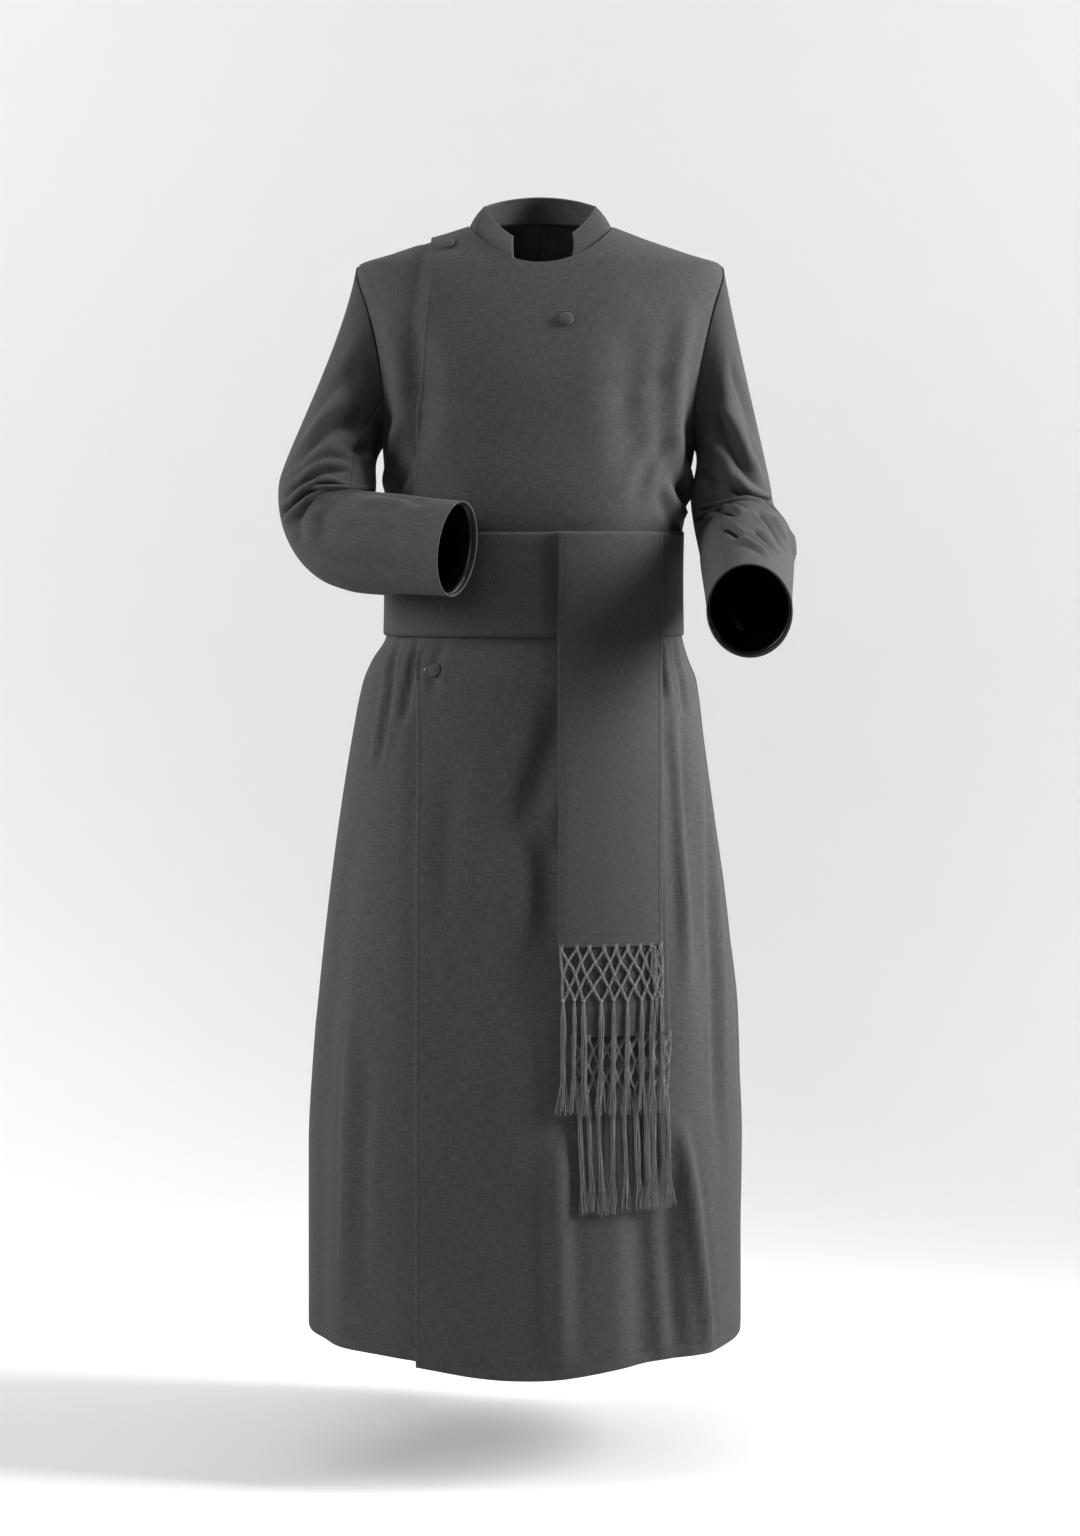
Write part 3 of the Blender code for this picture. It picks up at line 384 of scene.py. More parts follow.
waveStep = 0.314                 # width in metres of a wave texture's bands at scale 1
clothFinish = {
    "dark": "#2e2e2e", "light": "#424242", "thread": 0.0007, "slubLength": 0.016, "slubWidth": 0.0007,
    "slubTones": (0.80, 1.20), "cloudScale": 9.0, "cloudShare": 0.25, "slubShare": 0.55,
    "bump": 0.22, "bumpDepth": 0.0006, "roughness": 0.88, "sheen": 0.08, "sheenTint": "#8a8a8a",
}
satinFinish = {"dark": "#08080a", "light": "#101013", "thread": 0.0009, "roughness": 0.32}
threadFinish = {"twistScale": 900.0, "lengthways": 0.03, "roughness": 0.62, "sheen": 0.15}


# Wool-blend suiting: uneven slubbed yarn both ways, matt, with a soft sheen at the rims
def wovenCloth(name, finish):
    material, tree, shader = startMaterial(name)
    place = addNode(tree, "ShaderNodeUVMap", {"uv_map": "cloth"}).outputs["UV"]
    waves, slubs = [], []
    for direction in ("X", "Y"):
        wave = addNode(tree, "ShaderNodeTexWave", {"wave_type": "BANDS", "bands_direction": direction},
                       {"Scale": waveStep / finish["thread"], "Distortion": 1.2, "Detail": 2.0,
                        "Detail Scale": 1.5}, {"Vector": place})
        waves.append(wave.outputs["Fac"])
        size = (1 / finish["slubWidth"], 1 / finish["slubLength"], 1)
        if direction == "Y":
            size = (size[1], size[0], 1)
        stretch = addNode(tree, "ShaderNodeMapping", {}, {"Scale": size}, {"Vector": place})
        slub = addNode(tree, "ShaderNodeTexNoise", {"noise_dimensions": "2D"},
                       {"Scale": 1.0, "Detail": 2.0, "Roughness": 0.55},
                       {"Vector": stretch.outputs["Vector"]})
        slubs.append(slub.outputs["Fac"])
    weave = addNode(tree, "ShaderNodeMath", {"operation": "MULTIPLY"}, {}, dict(enumerate(waves)))
    slubSum = addNode(tree, "ShaderNodeMath", {"operation": "ADD"}, {}, dict(enumerate(slubs)))
    low, high = finish["slubTones"]
    tone = addNode(tree, "ShaderNodeMapRange", {}, {"From Min": low, "From Max": high},
                   {"Value": slubSum.outputs["Value"]}).outputs["Result"]
    cloudy = addNode(tree, "ShaderNodeTexNoise", {}, {"Scale": finish["cloudScale"], "Detail": 3.0},
                     {"Vector": addNode(tree, "ShaderNodeTexCoord").outputs["Object"]})
    blend = addNode(tree, "ShaderNodeMix", {"data_type": "FLOAT"}, {"Factor": finish["cloudShare"]},
                    {2: tone, 3: cloudy.outputs["Fac"]})
    shadeBetween(tree, shader, blend.outputs[0], finish["dark"], finish["light"])
    height = addNode(tree, "ShaderNodeMix", {"data_type": "FLOAT"}, {"Factor": finish["slubShare"]},
                     {2: weave.outputs["Value"], 3: tone})
    addBump(tree, shader, height.outputs[0], finish["bump"], finish["bumpDepth"])
    shader.inputs["Roughness"].default_value = finish["roughness"]
    shader.inputs["Sheen Weight"].default_value = finish["sheen"]
    shader.inputs["Sheen Roughness"].default_value = 0.5
    shader.inputs["Sheen Tint"].default_value = linearColor(finish["sheenTint"])
    shader.inputs["Specular IOR Level"].default_value = 0.25
    return material


# Acetate satin: black and smooth, with fine lines along the floats and a strong gloss
def liningSatin():
    material, tree, shader = startMaterial("blackLiningSatin")
    place = addNode(tree, "ShaderNodeUVMap", {"uv_map": "cloth"})
    floats = addNode(tree, "ShaderNodeTexWave", {"bands_direction": "X"},
                     {"Scale": waveStep / satinFinish["thread"], "Distortion": 0.6},
                     {"Vector": place.outputs["UV"]})
    addBump(tree, shader, floats.outputs["Fac"], 0.12, 0.0003)
    shadeBetween(tree, shader, floats.outputs["Fac"], satinFinish["dark"], satinFinish["light"])
    shader.inputs["Roughness"].default_value = satinFinish["roughness"]
    return material


# Spun polyester thread: a faint twist along its length and a soft gloss
def threadMaterial(name, dark, light):
    material, tree, shader = startMaterial(name)
    place = addNode(tree, "ShaderNodeTexCoord")
    strands = addNode(tree, "ShaderNodeMapping", {}, {"Scale": (1.0, 1.0, threadFinish["lengthways"])},
                      {"Vector": place.outputs["Object"]})
    twist = addNode(tree, "ShaderNodeTexNoise", {}, {"Scale": threadFinish["twistScale"], "Detail": 2.0},
                    {"Vector": strands.outputs["Vector"]})
    shadeBetween(tree, shader, twist.outputs["Fac"], dark, light)
    addBump(tree, shader, twist.outputs["Fac"], 0.3, 0.0003)
    shader.inputs["Roughness"].default_value = threadFinish["roughness"]
    shader.inputs["Sheen Weight"].default_value = threadFinish["sheen"]
    return material


cassockCloth = wovenCloth("charcoalSlubSuiting", clothFinish)
cinctureFinish = {**clothFinish, "dark": "#303030", "light": "#3f3f3f", "slubLength": 0.010, "bump": 0.18}
cinctureCloth = wovenCloth("charcoalCinctureCloth", cinctureFinish)
satin = liningSatin()
seamThread = threadMaterial("charcoalSewingThread", "#2a2b2d", "#434446")
fringeThread = threadMaterial("charcoalFringeCord", "#1c1d1f", "#7c7d80")
print("materials ready")


# Sheets of cloth

def finishPiece(name, shaped, material, node=None):
    mesh = bpy.data.meshes.new(name)
    shaped.to_mesh(mesh)
    shaped.free()
    mesh.shade_smooth()
    mesh.materials.append(material)
    piece = bpy.data.objects.new(name, mesh)
    bpy.context.scene.collection.objects.link(piece)
    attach(piece, "root")
    if node:
        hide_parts(node)
    return piece


def gridDistance(points, axis, reverse=False):   # metres in from a panel's edge
    steps = np.linalg.norm(np.diff(points, axis=axis), axis=2)
    start = np.zeros((1, points.shape[1])) if axis == 0 else np.zeros((points.shape[0], 1))
    if reverse:
        steps = np.flip(steps, axis)
    total = np.concatenate([start, np.cumsum(steps, axis=axis)], axis=axis)
    return np.flip(total, axis) if reverse else total


def clothSheet(name, points, thickness, material, closed=False):
    rows, columns = points.shape[:2]
    shaped = bmesh.new()
    bmesh.ops.create_grid(shaped, x_segments=columns - 1, y_segments=rows - 1, size=1)
    places = [(round((vert.co.y + 1) / 2 * (rows - 1)), round((vert.co.x + 1) / 2 * (columns - 1)))
              for vert in shaped.verts]
    across, up = gridDistance(points, 1), gridDistance(points, 0)
    across -= across[:, columns // 2:columns // 2 + 1]
    for vert, (r, c) in zip(shaped.verts, places):
        vert.co = points[r, c]
    shaped.verts.index_update()
    uvs = shaped.loops.layers.uv.new("cloth")
    for face in shaped.faces:
        for loop in face.loops:
            r, c = places[loop.vert.index]
            loop[uvs].uv = (across[r, c], up[r, c])
    if closed:
        bmesh.ops.remove_doubles(shaped, verts=shaped.verts, dist=1e-6)
    piece = finishPiece(name, shaped, material, name)
    wall = piece.modifiers.new("wall", "SOLIDIFY")
    wall.thickness = thickness
    wall.offset = -1
    wall.use_even_offset = False


def spacedShares(length, step, fineStart=(), fineEnd=()):   # shares 0 to 1, with close rows at an edge
    count = max(2, round(length / step))
    shares = {i / count for i in range(count + 1)}
    shares |= {d / length for d in fineStart}
    shares |= {1 - d / length for d in fineEnd}
    ordered = sorted(shares)
    kept = [ordered[0]]
    for share in ordered[1:]:
        if share - kept[-1] > bodyGrid["closest"] / length:
            kept.append(share)
    kept[-1] = 1.0
    return np.array(kept)


bodyGrid = {
    "step": 0.0065, "closest": 0.0006, "bodiceRows": 56,
    "widths": {"single": 0.19, "doubled": 0.21, "beyond": 0.31, "back": 0.38},
    "hemRows": (0.0, 0.0012, 0.003, 0.010, 0.0135, 0.015, 0.0165, 0.020),
    "edgeColumns": (0.0, 0.0010, 0.0024, 0.0045, 0.0060, 0.0075, 0.0100),
}


def stripAngles(lowEdge, highEdge, topXs, shares, back=False):
    zs, angles = [], []
    hemRows = spacedShares(form["underarmZ"] - form["hemZ"], bodyGrid["step"], bodyGrid["hemRows"])
    for share in hemRows:
        level = mix(form["hemZ"], form["underarmZ"], share)
        angle = mix(lowEdge["angle"](level), highEdge["angle"](level), shares)
        nearHem = ease((form["waistZ"] - level) / (form["waistZ"] - form["hemZ"]))
        drop = -form["hemDrop"] * np.exp(-(angle / form["hemSpread"]) ** 2)
        angles.append(angle)
        zs.append(level + nearHem * drop)
    bottomX = formPoint(angles[-1], form["underarmZ"] + 0 * angles[-1])[:, 0]
    topX = np.interp(shares * (len(topXs) - 1), range(len(topXs)), topXs)
    topHeight = topZ(topX, back)
    bodice = np.array(form["bodiceRows"])
    at = np.linspace(0, len(bodice) - 1, bodyGrid["bodiceRows"] + 1)[1:]
    turns, rises = [np.interp(at, range(len(bodice)), column) for column in bodice.T]
    for turn, rise in zip(turns, rises):
        low, high = lowEdge["rise"](turn, rise), highEdge["rise"](turn, rise)
        row = []
        for bottom, top, place in ((bottomX, topX, 0), (form["underarmZ"] + 0 * bottomX, topHeight, 1)):
            corners = mix(mix(bottom[0], bottom[-1], shares), mix(top[0], top[-1], shares), rise)
            row.append(mix(bottom, top, rise) + mix(low[place], high[place], shares) - corners)
        zs.append(row[1])
        angles.append(angleAt(row[0], row[1], back))
    return np.array(angles), np.array(zs)


def sideEdge(side, back=False):
    def rise(turn, share):
        angle, z = armholeAt(side, -turn if back else turn)
        return formPoint(angle, z)[0], z
    return {"angle": lambda z: side * 90.0, "rise": rise}


def frontEdge(edgeX, topX):
    top = float(topZ(np.array(topX)))

    def rise(turn, share):
        z = mix(form["underarmZ"], top, share)
        return mix(edgeX(z), topX, ease(share)), z
    return {"angle": lambda z: angleAt(edgeX(z), z), "rise": rise}


def backEdge(side):
    return {"angle": lambda z: side * 180.0,
            "rise": lambda turn, share: (0.0, mix(form["underarmZ"], form["neckBackZ"], share))}


def neckXs(firstTurn, lastTurn):
    steps = round(abs(lastTurn - firstTurn) / form["neckStep"])
    return [form["neckHalfWidth"] * math.sin(math.radians(mix(firstTurn, lastTurn, i / steps)))
            for i in range(steps + 1)]


def joinStrips(first, second):
    return tuple(np.concatenate([a, b[:, 1:]], axis=1) for a, b in zip(first, second))


def edgeRoll(distance, drop, reach):                        # how far a turned edge rolls down
    return drop * np.clip(1 - distance / reach, 0, 1) ** 2


def groove(distance, at, width, depth):                     # where a row of stitches pulls the cloth down
    return -depth * np.exp(-((distance - at) / width) ** 2)


def seamLine(distance):
    return -form["seamSink"] * np.exp(-distance / form["seamWidth"])


stitchLines = {}        # points and normals of each row of stitching, filled in as the panels are made


def makePanel(name, grid, lift, seams, freeEdge=False):     # seams: the panel's sides that are sewn
    angle, z = grid
    x = formPoint(angle, z)[..., 0]
    points = clothPoint(angle, z, lift(x, z))
    normals = formNormal(angle, z)
    fromHem = gridDistance(points, 0)
    fromTop = gridDistance(points, 0, True)
    topX = points[-1, :, 0]
    sink = groove(fromHem, form["hemStitch"], *form["groove"])
    sink = sink + np.where(np.abs(topX) > form["neckHalfWidth"], seamLine(fromTop), 0)
    for reverse in seams:
        sink = sink + seamLine(gridDistance(points, 1, reverse))
    roll = edgeRoll(fromHem, *form["roll"])
    if freeEdge:
        fromEdge = gridDistance(points, 1)
        sink += groove(fromEdge, form["edgeStitch"], *form["groove"])
        sink += form["edgeRise"] * np.exp(-fromEdge / form["edgeFade"]) * clearOfBand(z)
        roll += edgeRoll(fromEdge, *form["roll"])
        rise, fade, start, blend = form["lip"]
        lip = ease((start - topX) / blend) * (topX > -form["neckHalfWidth"] - 1e-4)
        sink += lip * rise * np.exp(-fromTop / fade)
        stitchLines[name + "Edge"] = (points, normals, fromEdge, form["edgeStitch"], 1)
    stitchLines[name + "Hem"] = (points, normals, fromHem, form["hemStitch"], 0)
    points = points + normals * (sink - roll)[..., None]
    clothSheet(name, points, form["cloth"], cassockCloth)


def makeBody():
    tip = float(leftSide(form["shoulderZ"]))
    shoulder = [mix(form["neckHalfWidth"], tip, i / 5) for i in range(6)]
    topX = form["overlapTopX"]
    freeEdge = frontEdge(overlapEdgeX, topX)
    hiddenX = form["neckHalfWidth"] * math.sin(math.radians(form["hiddenEdgeTurn"]))
    hiddenEdge = frontEdge(lambda z: hiddenX, hiddenX)
    step, widths = bodyGrid["step"], bodyGrid["widths"]
    single = stripAngles(sideEdge(-1), freeEdge, [mix(-tip, topX, i / 3) for i in range(4)],
                         spacedShares(widths["single"], step))
    doubledTop = [topX, mix(topX, -form["neckHalfWidth"], 0.5)] + neckXs(-90, form["hiddenEdgeTurn"])
    doubled = stripAngles(freeEdge, hiddenEdge, doubledTop,
                          spacedShares(widths["doubled"], step, bodyGrid["edgeColumns"]))
    beyond = stripAngles(hiddenEdge, sideEdge(1), neckXs(form["hiddenEdgeTurn"], 90) + shoulder[1:],
                         spacedShares(widths["beyond"], step))
    makePanel("front_left", joinStrips(doubled, beyond), overlapLift, (True,), True)
    angles, zs = joinStrips(single, doubled)
    lift, reach = form["underlapHem"]
    zs = zs + lift * np.clip(1 - (zs - form["hemZ"]) / reach, 0, 1)
    makePanel("front_right", (angles, zs), besideOverlap, (False,))
    for name, side in (("back_left", 1), ("back_right", -1)):
        top = [side * x for x in neckXs(0, 90) + shoulder[1:]]
        shares = spacedShares(widths["back"], step)
        grid = stripAngles(backEdge(side), sideEdge(side, True), top, shares, True)
        makePanel(name, grid, lambda x, z: 0 * x, (False, True))


makeBody()
print("body panels made")


# Collar, stood up from the neck seam and open at the throat

collar = {
    "wall": 0.0025, "topHalfWidth": 0.070, "topFrontY": -0.062, "topBackY": 0.052,
    "topZ": (-0.023, 0.030, 0.046), "notch": (-0.033, 0.040), "inset": 0.0009, "rise": -0.0006,
    "tuck": 0.0062, "tuckDrop": 0.0040, "tuckFrom": 268.0, "tuckTurn": 18.0,
    "columns": 110, "rows": (0, 0.1, 0.25, 0.4, 0.55, 0.7, 0.82, 0.90, 0.95, 0.98, 1.0),
    "bulge": 0.0022, "power": 1.6, "insetFrom": 0.2, "stitchFromEdge": 0.004, "roll": (0.0008, 0.002),
}


def collarPoint(turn, height):
    t = np.radians(turn)
    s, c = np.sin(t), np.cos(t)
    tucked = ease((turn - collar["tuckFrom"]) / collar["tuckTurn"])
    inset = mix(collar["inset"], collar["tuck"], tucked)
    x = (form["neckHalfWidth"] - inset) * s
    z = np.where(c < 0, neckZ(x, True), neckZ(x))
    foot = formPoint(np.where(c < 0, angleAt(x, z, True), angleAt(x, z)), z)
    foot[..., 1] -= np.where(np.abs(c) > collar["insetFrom"], np.sign(foot[..., 1]) * inset, 0)
    foot[..., 2] += collar["rise"] - collar["tuckDrop"] * tucked
    frontZ, sideZ, backZ = collar["topZ"]
    topY = np.where(c > 0, collar["topFrontY"], -collar["topBackY"]) * c
    topHeight = mix(sideZ, np.where(c > 0, frontZ, backZ), np.abs(c) ** collar["power"])
    top = np.stack([collar["topHalfWidth"] * s, topY, topHeight], axis=-1)
    point = mix(foot, top, height[..., None])
    out = point - np.array([0, 0, 1]) * point[..., 2:]
    return point + unit(out) * (collar["bulge"] * np.sin(height * math.pi))[..., None]


def makeCollar():
    heights = np.array(collar["rows"])[:, None]
    notch = [[math.degrees(math.asin(x / width)) for x in collar["notch"]]
             for width in (form["neckHalfWidth"], collar["topHalfWidth"])]
    shares = np.linspace(0, 1, collar["columns"])[None, :]
    first = mix(notch[0][1], notch[1][1], heights)
    last = 360 + mix(notch[0][0], notch[1][0], heights)
    turns = mix(first, last, shares)
    points = collarPoint(turns, heights + 0 * turns)
    normals = unit(np.cross(np.gradient(points, axis=1), np.gradient(points, axis=0)))
    fromTop = gridDistance(points, 0, True)
    lift = groove(fromTop, collar["stitchFromEdge"], *form["groove"]) - edgeRoll(fromTop, *collar["roll"])
    points += normals * lift[..., None]
    stitchLines["collarTop"] = (points, normals, fromTop, collar["stitchFromEdge"], 0)
    clothSheet("collar", points, collar["wall"], cassockCloth)


# Sleeves, each a long top piece and an under piece, bent at the elbow

sleeves = {
    "steps": 132, "underTurn": 60, "capRings": 54, "elbowRings": 52, "forearmRings": 44,
    "creaseRadius": 0.006, "smoothing": 18, "turnLength": 0.00096, "keepArmhole": 0.15, "keepCuff": 0.10,
    "cuffRows": (0.010, 0.004, 0.0), "cuffStitch": 0.020,
    "lining": 0.0010, "liningReach": (0.08, 0.97), "liningRows": 20,
    "leaveBelow": (0.55, 0.10, 1.0), "leaveTop": (0.15, 0.0, 0.3), "leaveDown": 0.85,
    "right": {"side": -1, "upperEnd": (-0.2660, -0.066, -0.331), "slope": (-0.10, -0.15, -1.0),
              "upperHalf": (0.0595, 0.0590), "bend": 86.0, "elbowHalf": (0.0610, 0.0510),
              "elbowShift": 0.0, "cuff": (-0.100, -0.206, -0.4055), "cuffHalf": (0.0570, 0.0360)},
    "left": {"side": 1, "upperEnd": (0.2420, -0.020, -0.345), "slope": (0.08, -0.05, -1.0),
             "upperHalf": (0.0620, 0.0500), "bend": 66.0, "elbowHalf": (0.0640, 0.0575),
             "elbowShift": -0.012, "cuff": (0.251, -0.240, -0.480), "cuffHalf": (0.0600, 0.0500)},
}
sleeveCreases = {       # turn round the sleeve, how far down: 0 armhole, 1 elbow, 2 forearm, 3 cuff
    "right": [
        ([(74, 1.05), (98, 1.09), (123, 1.15), (150, 1.1), (180, 1.0)], 0.0046, -0.012, 0.16),
        ([(74, 1.16), (98, 1.2), (126, 1.27)], 0.006, 0.004, 0.3),
        ([(92, 1.185), (74, 1.22), (54, 1.27), (30, 1.285), (8, 1.27)], 0.0034, -0.009, 0.2),
        ([(84, 1.27), (60, 1.35), (34, 1.37), (12, 1.36)], 0.0042, 0.003, 0.3),
        ([(76, 1.34), (56, 1.44), (36, 1.48)], 0.004, -0.0026, 0.3),
        ([(122, 0.86), (98, 0.92), (78, 0.97), (60, 1.06), (42, 1.15), (26, 1.2)], 0.0046, -0.0062, 0.25),
        ([(106, 0.99), (84, 1.04), (62, 1.14), (44, 1.21)], 0.0036, 0.0034, 0.3),
        ([(126, 0.74), (98, 0.82), (72, 0.9), (48, 1.0), (28, 1.08)], 0.0058, -0.0046, 0.3),
        ([(118, 0.8), (92, 0.87), (68, 0.95), (46, 1.05)], 0.0046, 0.0034, 0.3),
        ([(122, 0.3), (100, 0.52), (72, 0.74), (44, 0.9), (26, 0.98)], 0.0085, -0.006, 0.3),
        ([(112, 0.22), (88, 0.44), (60, 0.66), (40, 0.78)], 0.009, 0.0046, 0.3),
        ([(140, 0.42), (126, 0.6), (108, 0.74)], 0.007, -0.005, 0.3),
        ([(92, 0.16), (70, 0.36), (50, 0.56)], 0.01, -0.003, 0.3),
        ([(60, 1.38), (40, 1.5), (20, 1.64)], 0.007, -0.0028, 0.3),
        ([(78, 1.5), (55, 1.66), (34, 1.84)], 0.009, 0.003, 0.3),
        ([(92, 2.05), (106, 2.3), (112, 2.62)], 0.008, 0.003, 0.3),
        ([(66, 2.02), (60, 2.36), (52, 2.7)], 0.0085, -0.0028, 0.3),
        ([(30, 1.9), (18, 2.3), (4, 2.6)], 0.009, -0.0028, 0.3),
        ([(120, 2.2), (118, 2.5), (108, 2.8)], 0.007, -0.0028, 0.3),
        ([(200, 0.6), (230, 0.78), (268, 0.9)], 0.009, -0.004, 0.3),
        ([(205, 0.95), (236, 1.1), (280, 1.2)], 0.007, -0.006, 0.3),
        ([(215, 1.25), (250, 1.4), (300, 1.44)], 0.007, 0.0035, 0.3),
        ([(240, 0.25), (262, 0.45), (290, 0.6)], 0.011, -0.0036, 0.3),
        ([(232, 2.0), (250, 2.4), (262, 2.75)], 0.01, -0.0024, 0.3),
        ([(300, 1.7), (310, 2.1), (318, 2.5)], 0.01, 0.0024, 0.3),
    ],
    "left": [
        ([(98, 0.28), (84, 0.5), (64, 0.74), (34, 0.93)], 0.008, 0.0062, 0.25),
        ([(112, 0.34), (98, 0.56), (80, 0.8), (60, 0.9)], 0.007, -0.0056, 0.25),
        ([(72, 0.22), (56, 0.46), (36, 0.68)], 0.009, -0.0042, 0.3),
        ([(128, 0.3), (116, 0.52), (104, 0.72)], 0.008, 0.0036, 0.3),
        ([(92, 0.86), (71, 0.95), (46, 1.02), (20, 1.08)], 0.0052, 0.007, 0.25),
        ([(96, 0.94), (72, 1.06), (44, 1.16)], 0.0044, -0.0062, 0.3),
        ([(150, 1.22), (133, 1.44), (100, 1.66), (66, 1.9), (44, 2.0)], 0.0044, -0.012, 0.18),
        ([(140, 1.16), (116, 1.34), (84, 1.56), (56, 1.76)], 0.005, 0.0044, 0.3),
        ([(172, 1.3), (161, 1.42), (132, 1.8), (99, 2.25)], 0.0042, -0.0095, 0.2),
        ([(150, 1.74), (120, 2.02), (86, 2.22)], 0.0054, 0.005, 0.25),
        ([(124, 2.28), (108, 2.46), (96, 2.62)], 0.005, -0.0046, 0.3),
        ([(60, 2.1), (44, 2.26), (26, 2.42)], 0.0052, 0.0052, 0.3),
        ([(78, 2.12), (58, 2.34), (36, 2.54)], 0.0046, -0.0052, 0.3),
        ([(104, 2.55), (80, 2.7), (54, 2.84)], 0.0056, 0.0046, 0.3),
        ([(86, 2.42), (64, 2.58), (44, 2.68)], 0.005, -0.0038, 0.3),
        ([(20, 1.96), (12, 2.14), (8, 2.32)], 0.007, 0.0046, 0.3),
        ([(150, 0.6), (128, 0.78), (110, 0.96)], 0.007, -0.005, 0.3),
        ([(200, 0.62), (228, 0.8), (262, 0.96)], 0.009, -0.0042, 0.3),
        ([(208, 1.05), (240, 1.22), (284, 1.3)], 0.007, -0.006, 0.3),
        ([(220, 1.4), (256, 1.56), (300, 1.6)], 0.008, 0.0036, 0.3),
        ([(250, 0.28), (272, 0.46), (300, 0.62)], 0.011, -0.0036, 0.3),
        ([(236, 2.1), (250, 2.45), (262, 2.78)], 0.01, -0.0026, 0.3),
        ([(310, 1.8), (318, 2.2), (326, 2.6)], 0.01, 0.0026, 0.3),
    ],
}


def armholeSeam(side, turn):
    normal = Vector(formNormal(*armholeAt(side, turn)))
    return Vector(formPoint(*armholeAt(side, turn))) - normal * form["seamSink"], normal


def sleeveRings(spec):
    side = spec["side"]
    start = Vector(spec["upperEnd"])
    down = Vector(spec["slope"]).normalized()
    inside = Vector(spec["cuff"]) - start
    inside = (inside - down * inside.dot(down)).normalized()
    across = down.cross(inside) * side
    outside = Vector((side, 0, 0))
    outside = (outside - down * outside.dot(down)).normalized()
    front = outside.cross(down) * side
    if front.y > 0:
        front.negate()
    facing = math.atan2(inside.dot(front), inside.dot(outside))
    pivot = start + inside * (spec["upperHalf"][0] + sleeves["creaseRadius"])

    def oval(middle, inwards, sideways, half, turn):
        t = math.radians(turn) - facing
        return middle + inwards * (half[0] * math.cos(t)) + sideways * (half[1] * math.sin(t))

    def cap(share, turn):
        first, normal = armholeSeam(side, turn)
        last = oval(start, inside, across, spec["upperHalf"], turn)
        reach = (last - first).length / 3
        top = float(ease(math.cos(math.radians(turn))))
        along, out, arrive = [mix(a, b, top) for a, b in zip(sleeves["leaveBelow"], sleeves["leaveTop"])]
        leave = normal * along + Vector((side * out, 0, -sleeves["leaveDown"]))
        second, third = first + leave.normalized() * reach, last - down * reach * arrive
        return (first * (1 - share) ** 3 + second * (3 * share * (1 - share) ** 2)
                + third * (3 * share * share * (1 - share)) + last * share ** 3)

    def bent(share):
        turned = Matrix.Rotation(math.radians(spec["bend"]) * share, 3, inside.cross(-down))
        inwards = turned @ inside
        half = [mix(a, b, float(ease(share))) for a, b in zip(spec["upperHalf"], spec["elbowHalf"])]
        middle = pivot - inwards * (half[0] + sleeves["creaseRadius"])
        return middle + across * (spec["elbowShift"] * float(ease(share))), inwards, half

    def elbow(share, turn):
        middle, inwards, half = bent(share)
        return oval(middle, inwards, across, half, turn)

    def forearm(share, turn, trim=0.0):
        middle, inwards, half = bent(1.0)
        end = Vector(spec["cuff"])
        along = (end - middle).normalized()
        inwards = (inwards - along * inwards.dot(along)).normalized()
        sideways = along.cross(inwards) * side
        sizes = [mix(a, b, float(ease(share))) - trim for a, b in zip(half, spec["cuffHalf"])]
        return oval(mix(middle, end, share), inwards, sideways, sizes, turn)

    return cap, elbow, forearm


def sleeveSurface(name):
    cap, elbow, forearm = sleeveRings(sleeves[name])
    kinds = ((cap, "capRings"), (elbow, "elbowRings"), (forearm, "forearmRings"))
    stages = []
    for start, (ring, kind) in enumerate(kinds):
        stages += [(ring, i / sleeves[kind], start + i / sleeves[kind]) for i in range(sleeves[kind])]
    stages += [(forearm, 1 - back, 3 - back) for back in sleeves["cuffRows"]]
    turns = np.linspace(0, 360, sleeves["steps"] + 1)
    points = np.array([[ring(share, turn) for turn in turns] for ring, share, _ in stages])
    return points, turns, np.array([stage[2] for stage in stages])


def relaxed(points, passes):      # even out a closed tube of points, its two ends left where they are
    for _ in range(passes):
        round_ = points[:, :-1]
        near = (np.roll(round_, 1, axis=1) + np.roll(round_, -1, axis=1)) / 2
        inner = 0.5 * round_[1:-1] + 0.25 * near[1:-1] + 0.125 * (round_[:-2] + round_[2:])
        round_ = np.concatenate([round_[:1], inner, round_[-1:]])
        points = np.concatenate([round_, round_[:, :1]], axis=1)
    return points


def tubeNormals(points):
    round_ = points[:, :-1]
    around = np.roll(round_, -1, axis=1) - np.roll(round_, 1, axis=1)
    normals = unit(np.cross(around, np.gradient(round_, axis=0)))
    middle = round_.mean(axis=1, keepdims=True)
    facing = np.sign(((round_ - middle) * normals).sum(axis=(1, 2)))
    normals = normals * np.where(facing == 0, 1, facing)[:, None, None]
    return np.concatenate([normals, normals[:, :1]], axis=1)


